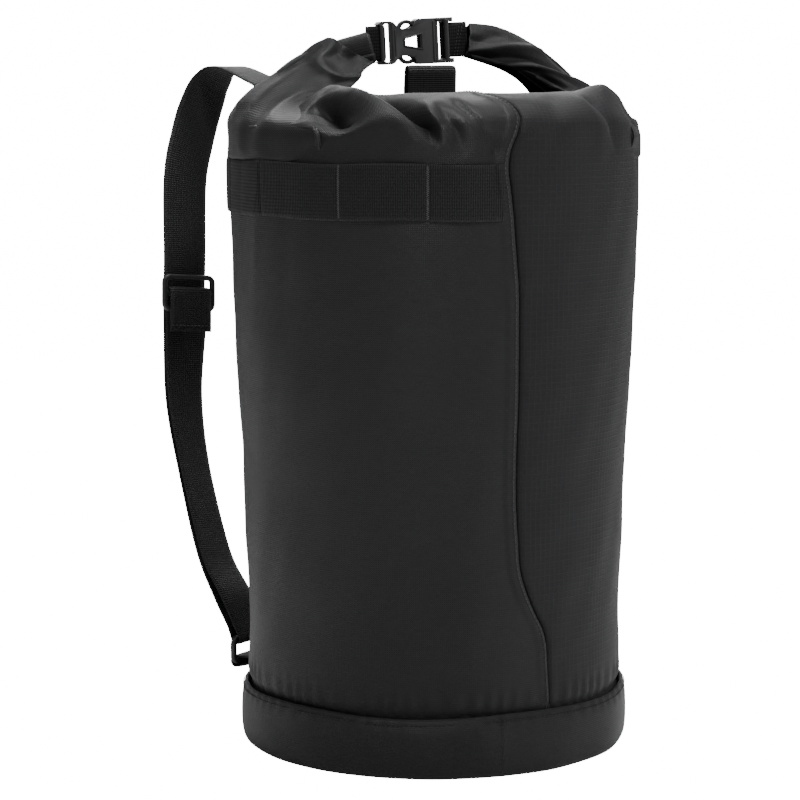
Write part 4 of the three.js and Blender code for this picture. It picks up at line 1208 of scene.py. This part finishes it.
@dataclass
class Yoke:
    """The patch on the back that carries the upper ends of both shoulder straps."""

    def build(self) -> None:
        """The patch and the stitching round it."""
        angle = np.linspace(156, 204, 60)[:, None]
        v = np.linspace(0.396, 0.442, 26)[None]
        angle, v = np.broadcast_arrays(angle, v)
        grid = WALL.point(angle, v, 0.0018)
        uv = np.stack([np.radians(angle) * 0.146, v], -1)
        patch = place(shell("back_yoke", grid, uv, 0.0015), HEAVY, "bag", "back_yoke")
        soft(patch, (0.124, 0.046))
        turn = np.array([157.2, 202.8, 202.8, 157.2, 157.2])
        high = np.array([0.3990, 0.3990, 0.4390, 0.4390, 0.3990])
        share = np.linspace(0, 4, 200)
        line_a, line_v = (np.interp(share, np.arange(5), k) for k in (turn, high))
        line = WALL.point(line_a, line_v, 0.0019)
        place(stitches("yoke stitching", line, WALL.normal(line_a, line_v)), THREAD, "bag")


# ---- shoulder straps -------------------------------------------------------------
@dataclass
class ShoulderStrap:
    """One shoulder strap: webbing from the yoke down to a ring and back up to a slider."""

    side: str
    line: tuple = ((-31, 157.2, 445.6, 0), (-32.5, 164.5, 453, 2), (-45, 176, 462, 14),
                   (-73, 192, 478, 30),
                   (-92, 216, 488, 33), (-103, 225, 477, 22), (-113, 225, 456, 15),
                   (-121, 221, 432, 14), (-128, 215, 400, 15), (-132, 206, 330, 18),
                   (-134, 201, 290, 20), (-138, 193, 235, 32), (-136, 175, 183, 41),
                   (-129, 147, 123, 41), (-121, 128, 90, 39), (-113, 119, 68, 38))

    slack: tuple = ((-31, 157.2, 445.6, 0), (-32.5, 165, 451.5, 2), (-45, 178, 456, 14),
                    (-73, 194, 458, 30),
                    (-92, 212, 456, 33), (-103, 221, 449, 22), (-113, 224, 437, 15),
                    (-121, 220, 420, 14))

    slider_height: float = 0.313
    slider_size: tuple = (0.048, 0.029)
    ring_size: tuple = (0.046, 0.022)
    ring_bar: float = 0.0088
    turn_radius: float = 0.0042
    seam_radius: float = 0.1405

    @property
    def flip(self) -> int:
        """1 on the left and -1 on the right."""
        return 1 if self.side == "left" else -1

    def stations(self, shares: Array) -> tuple:
        """Points, width directions and directions towards the bag at shares of the line."""
        table = np.array(self.line, float)
        if self.side == "right":
            table[:len(self.slack)] = self.slack
        read = through(table, shares)
        point = read[:, :3] / 1000 * [self.flip, 1, 1]
        turn = np.radians(read[:, 3])
        across = np.stack([np.cos(turn), self.flip * np.sin(turn), 0 * turn], -1)
        along = unit(np.gradient(point, axis=0))
        across = unit(across - along * np.sum(along * across, -1, keepdims=True))
        return point, across, np.cross(along, across)

    def ring_across(self) -> Array:
        """The direction of the lower ring's width."""
        return np.array([np.cos(RING_ANGLE), self.flip * np.sin(RING_ANGLE), 0.0])

    def at_height(self, height: float) -> tuple:
        """The station of the hanging part at a height."""
        shares = np.linspace(0.45, 1, 400)
        point, across, inward = self.stations(shares)
        i = int(np.argmin(np.abs(point[:, 2] - height)))
        return point[i], across[i], inward[i], shares[i]

    def loop(self, middle: Array, across: Array, up: Array, size: tuple,
             radius: float) -> Array:
        """Loops of a rounded rectangular frame of round bar, to be made into a body."""
        w, h = size[0] / 2 - radius, size[1] / 2 - radius
        corner = 0.0045
        corners = np.array([[w - corner, h - corner], [-w + corner, h - corner],
                            [-w + corner, -h + corner], [w - corner, -h + corner]])
        turn = np.linspace(0, np.pi / 2, 7)
        flat = np.vstack([c + corner * np.stack([np.cos(turn + k * np.pi / 2),
                                                 np.sin(turn + k * np.pi / 2)], -1)
                          for k, c in enumerate(corners)])
        line = middle + across * flat[:, :1] + up * flat[:, 1:]
        along = unit(np.roll(line, -1, 0) - np.roll(line, 1, 0))
        face = np.cross(across, up)
        outward = unit(np.cross(along, face))
        ring = np.linspace(0, 2 * np.pi, 14, endpoint=False)
        c, s = (np.sign(k) * np.abs(k) ** 0.75 for k in (np.cos(ring), np.sin(ring)))
        return line[:, None] + radius * (outward[:, None] * c[:, None] + face * s[:, None])

    def bar(self, name: str, middle: Array, across: Array, up: Array, half: float,
            radius: float, flat: float = 1.0) -> bpy.types.Object:
        """A straight moulded bar with ridges across it."""
        x = np.linspace(-half, half, 60)
        face = np.cross(across, up)
        turn = np.linspace(0, 2 * np.pi, 12, endpoint=False)[None, :, None]
        size = radius * (1 + 0.10 * np.cos(x / half * 40 * np.pi / 2))[:, None, None]
        loops = (middle + across * x[:, None])[:, None] + size * (
            up * flat * np.cos(turn) + face * np.sin(turn))
        return tube(name, loops)

    def hardware(self) -> None:
        """The slider on its body and the ring at the foot of the strap."""
        side = self.side
        _, across, inward, _ = self.at_height(self.slider_height)
        up = unit(np.cross(inward, across))
        middle = box_middle(f"{side}_slider")
        outer = tube(f"{side}_slider", self.loop(middle, across, up, self.slider_size, 0.0021),
                     closed=True)
        place(outer, PLASTIC, f"{side}_slider", f"{side}_slider")
        crossbar = self.bar(f"{side} slider bar", middle, across, up, 0.0222, 0.0019, 1.25)
        place(crossbar, PLASTIC, f"{side}_slider")
        across = self.ring_across()
        middle = box_middle(f"{side}_lower_ring")
        up = np.array([0, 0, 1.0])
        loops = self.loop(middle, across, up, self.ring_size, 0.0022)
        ring = tube(f"{side}_lower_ring", loops, closed=True)
        place(ring, PLASTIC, f"{side}_strap", f"{side}_lower_ring")

    def arc(self, middle: Array, up: Array, inward: Array, radius: float, low: float,
            high: float) -> Array:
        """Points of webbing turning round a bar between two angles in degrees."""
        turn = np.radians(np.linspace(low, high, 14))[:, None]
        return middle + radius * (inward * np.cos(turn) + up * np.sin(turn))

    def build(self) -> None:
        """The webbing of the strap, its return, and its two sewn ends."""
        side, body = self.side, f"{self.side}_strap"
        ring = box_middle(f"{side}_lower_ring")
        ring_across = self.ring_across()
        up = np.array([0, 0, 1.0])
        ring_inward = np.cross(ring_across, up)
        ring_inward = unit(ring_inward * np.sign(-ring_inward @ (ring * [1, 1, 0])))
        bar = ring + up * self.ring_bar
        shares = np.linspace(0, 1, 330)
        point, across, _ = self.stations(shares)
        under = self.arc(bar, up, ring_inward, self.turn_radius, -180, -80)
        line = np.vstack([point, under])
        widths = np.vstack([across, np.broadcast_to(ring_across, under.shape)])
        both = even(np.hstack([line, widths]), 0.0016)
        wave = 0.0009 * ripples(both[:, 0] * 0, both[:, 2], 6, 0.11)[:, None]
        strap = band(f"{side}_strap", both[:, :3] + both[:, 3:] * wave, both[:, 3:], STRAP_WIDTH)
        place(strap, WEB, body, f"{side}_strap")
        length = float(np.linalg.norm(np.diff(both[:, :3], axis=0), axis=1).sum())
        soft(strap, (STRAP_WIDTH, round(length, 3)))
        self.returning(bar, up, ring_inward, ring_across)
        self.lower_tab(ring - up * self.ring_bar, up, ring_inward, ring_across)
        self.top_tab()

    def returning(self, bar: Array, up: Array, ring_inward: Array, ring_across: Array) -> None:
        """The layer that comes back up behind the strap and is sewn round the slider's bar."""
        side = self.side
        fold = self.arc(bar, up, ring_inward, self.turn_radius, -82, 0)
        centre, across, inward, share = self.at_height(self.slider_height)
        shares = np.linspace(0.955, share + 0.012, 120)
        point, widths, towards = self.stations(shares)
        towards = -towards if (towards[0] @ (point[0] * [1, 1, 0])) > 0 else towards
        gap = 0.0029 + 0.0036 * (1 - smooth(0, 0.25, np.linspace(0, 1, 120)))
        rising = point + towards * gap[:, None]
        slide_up = unit(np.cross(inward, across))
        slide_up = slide_up * np.sign(slide_up[2])
        inward = inward * np.sign(inward @ towards[-1])
        middle = box_middle(f"{side}_slider")
        aside = across * ((centre - middle) @ across)
        over = self.arc(middle + aside + slide_up * 0.0008, slide_up, inward, 0.0033, 180, 0)
        tail = middle + aside + inward * 0.0034 - slide_up * np.linspace(0.003, 0.030, 18)[:, None]
        line = np.vstack([fold, rising, over, tail])
        wide = np.vstack([np.broadcast_to(ring_across, fold.shape), widths,
                          np.broadcast_to(across, (len(over) + len(tail), 3))])
        both = even(np.hstack([line, wide]), 0.0016)
        thing = band(f"{side}_strap_return", both[:, :3], both[:, 3:], STRAP_WIDTH * 0.985)
        anchor = (float(middle[0]), float(middle[1]))
        bend(thing, WEB, (f"{side}_strap", f"{side}_slider"), (*anchor, 0.10), (*anchor, 0.275),
             f"{side}_strap_return")
        length = float(np.linalg.norm(np.diff(both[:, :3], axis=0), axis=1).sum())
        soft(thing, (STRAP_WIDTH, round(length, 3)))
        seam = tail[-4] + inward * 0.0011 + across * np.linspace(-0.017, 0.017, 30)[:, None]
        thread = stitches(f"{side} tail stitching", seam, np.broadcast_to(inward, seam.shape))
        place(thread, THREAD, f"{side}_slider")

    def lower_tab(self, bar: Array, up: Array, inward: Array, across: Array) -> None:
        """The tab round the ring's lower bar that goes into the base seam."""
        side = self.side
        out = unit(bar * [1, 1, 0])
        fold = self.arc(bar, up, inward, 0.0040, -70, -290)
        sewn = out * self.seam_radius
        line = even(np.vstack([[sewn + up * 0.0415], fold, [sewn + up * 0.0455]]), 0.0008)
        tab = band(f"{side}_lower_tab", line, across, STRAP_WIDTH)
        start, end = out * 0.142 + up * 0.044, bar
        bend(tab, WEB, ("bag", f"{side}_strap"), tuple(start), tuple(end), f"{side}_lower_tab")
        soft(tab, (STRAP_WIDTH, 0.040))

    def top_tab(self) -> None:
        """The strap's sewn upper end on the yoke, with its boxed cross stitching."""
        side = self.side
        x = -0.031 * self.flip
        heights = np.linspace(0.402, 0.440, 24)
        angle = 180 - np.degrees(np.arcsin(x / 0.147))
        flat = WALL.point(np.full(24, angle), heights, 0.0046)
        flat[:, 0] = x
        rest = np.array([[x, 0.1540, 0.4440], [x, 0.1570, 0.4475], [x, 0.1612, 0.4515]])
        line = even(np.vstack([flat, rest]), 0.0016)
        tab = band(f"{side}_strap_top_tab", line, np.array([1.0, 0, 0]), STRAP_WIDTH)
        bend(tab, WEB, ("bag", f"{side}_strap"), (x, 0.1530, 0.4420), (x, 0.1590, 0.4500),
             f"{side}_strap_top_tab")
        soft(tab, (STRAP_WIDTH, 0.056))
        corners = np.array([[-15, 405], [15, 405], [15, 430], [-15, 430], [-15, 405], [15, 430],
                            [15, 405], [-15, 430]]) / 1000
        path = np.stack([np.interp(np.linspace(0, 7, 260), np.arange(8), corners[:, k])
                         for k in (0, 1)], -1)
        y = np.interp(path[:, 1], flat[:, 2], flat[:, 1]) + 0.0010
        line = np.stack([x + path[:, 0], y, path[:, 1]], -1)
        out = np.broadcast_to(np.array([0, 1.0, 0]), line.shape)
        place(stitches(f"{side} box stitching", line, out, 0.0028, 0.0022), THREAD, "bag")


# ---- studio ----------------------------------------------------------------------
@dataclass
class Studio:
    """White sweep, soft lights and the camera.

    Each light is its name, place, target, size and power.
    """

    lights: tuple = (("key", (0.35, -1.5, 2.1), (0, 0, 0.35), 0.5, 21),
                     ("fill", (1.9, -1.0, 0.7), (0, 0, 0.25), 1.2, 7),
                     ("left rim", (-1.9, -0.9, 0.8), (0, 0, 0.25), 0.7, 1.2),
                     ("top", (0.1, 0.25, 1.9), (0, 0, 0.45), 0.5, 20),
                     ("back", (0.5, 1.9, 1.3), (0, 0, 0.25), 1.3, 26))
    seen_white: float = 16.0
    sky: float = 0.22
    lens: float = 120.7
    shift: float = -0.0425
    stand: tuple = (-0.663, -1.822, 0.4905)
    tilt: float = 82.86
    heading: float = -20

    def floor(self) -> None:
        """A large pale floor the bag stands on."""
        size = 6.0
        corners = np.array([[-size, -size, 0], [size, -size, 0], [size, size, 0],
                            [-size, size, 0]])
        ground = make_object("studio_floor", corners, [[0, 1, 2, 3]], smooth_faces=False)
        paint = bpy.data.materials.new("white floor")
        paint.use_nodes = True
        shader = paint.node_tree.nodes["Principled BSDF"]
        shader.inputs["Base Color"].default_value = (0.9, 0.9, 0.9, 1)
        shader.inputs["Roughness"].default_value = 0.9
        shader.inputs["Specular IOR Level"].default_value = 0.1
        shader.inputs["Emission Color"].default_value = (1, 1, 1, 1)
        wires = Wires(paint.node_tree)
        seen = wires.add("ShaderNodeLightPath").outputs["Is Camera Ray"]
        glow = wires.math("MULTIPLY", seen, self.seen_white)
        wires.feed(shader.inputs["Emission Strength"], glow)
        ground.data.materials.append(paint)

    def light(self, name: str, place_at: tuple, target: tuple, size: float, power: float) -> None:
        """One square soft light aimed at a place."""
        lamp = bpy.data.lights.new(name, "AREA")
        lamp.size = size
        lamp.energy = power
        thing = bpy.data.objects.new(name, lamp)
        bpy.context.scene.collection.objects.link(thing)
        thing.location = place_at
        aim = Vector(target) - Vector(place_at)
        thing.rotation_euler = aim.to_track_quat("-Z", "Y").to_euler()

    def build(self) -> None:
        """Floor, world, lights and camera."""
        self.floor()
        world = bpy.data.worlds.new("studio")
        world.use_nodes = True
        wires = Wires(world.node_tree)
        sky = world.node_tree.nodes["Background"]
        sky.inputs[0].default_value = (1, 1, 1, 1)
        seen = wires.add("ShaderNodeLightPath").outputs["Is Camera Ray"]
        wires.feed(sky.inputs[1], wires.math("MULTIPLY_ADD", seen, self.seen_white, self.sky))
        bpy.context.scene.world = world
        for lamp in self.lights:
            self.light(*lamp)
        camera = bpy.data.cameras.new("camera")
        camera.lens = self.lens
        camera.sensor_width = 36.0
        camera.shift_x = self.shift
        camera.clip_end = 20
        eye = bpy.data.objects.new("camera", camera)
        bpy.context.scene.collection.objects.link(eye)
        eye.location = self.stand
        eye.rotation_euler = (np.radians(self.tilt), 0, np.radians(self.heading))
        bpy.context.scene.camera = eye


def note_size() -> None:
    """Brings the scene's transforms up to date."""

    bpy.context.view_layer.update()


def main() -> None:
    """Builds and dresses every sub-assembly in order."""
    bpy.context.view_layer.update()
    body = Body()
    body.build()
    body.dress()
    body.tapes()
    LOG.info("body panels, seams and tapes")
    base = Base()
    base.build()
    base.dress()
    LOG.info("base")
    chain = DaisyChain()
    chain.build()
    chain.dress()
    LOG.info("daisy chain")
    MouthRoll().build()
    left = place(LEFT_EAR.build(), LEFT_EAR.finish, "bag", "left_ear")
    soft(left, EAR_CUT)
    right = bend(RIGHT_EAR.build(), RIGHT_EAR.finish, ("bag", "buckle_plug"),
                 (0.125, 0.015, 0.455), (0.040, 0.015, 0.508), "right_ear")
    soft(right, EAR_CUT)
    LOG.info("rolled mouth and ears")
    closure = Closure()
    closure.build()
    closure.dress()
    LOG.info("closure")
    Yoke().build()
    HangLoop().build()
    LOG.info("yoke and hang loop")
    for side in ("left", "right"):
        strap = ShoulderStrap(side)
        strap.build()
        strap.hardware()
        LOG.info("%s shoulder strap", side)
    Studio().build()
    note_size()


if __name__ == "__main__":
    logging.basicConfig(level=logging.INFO, format="%(message)s")
    main()
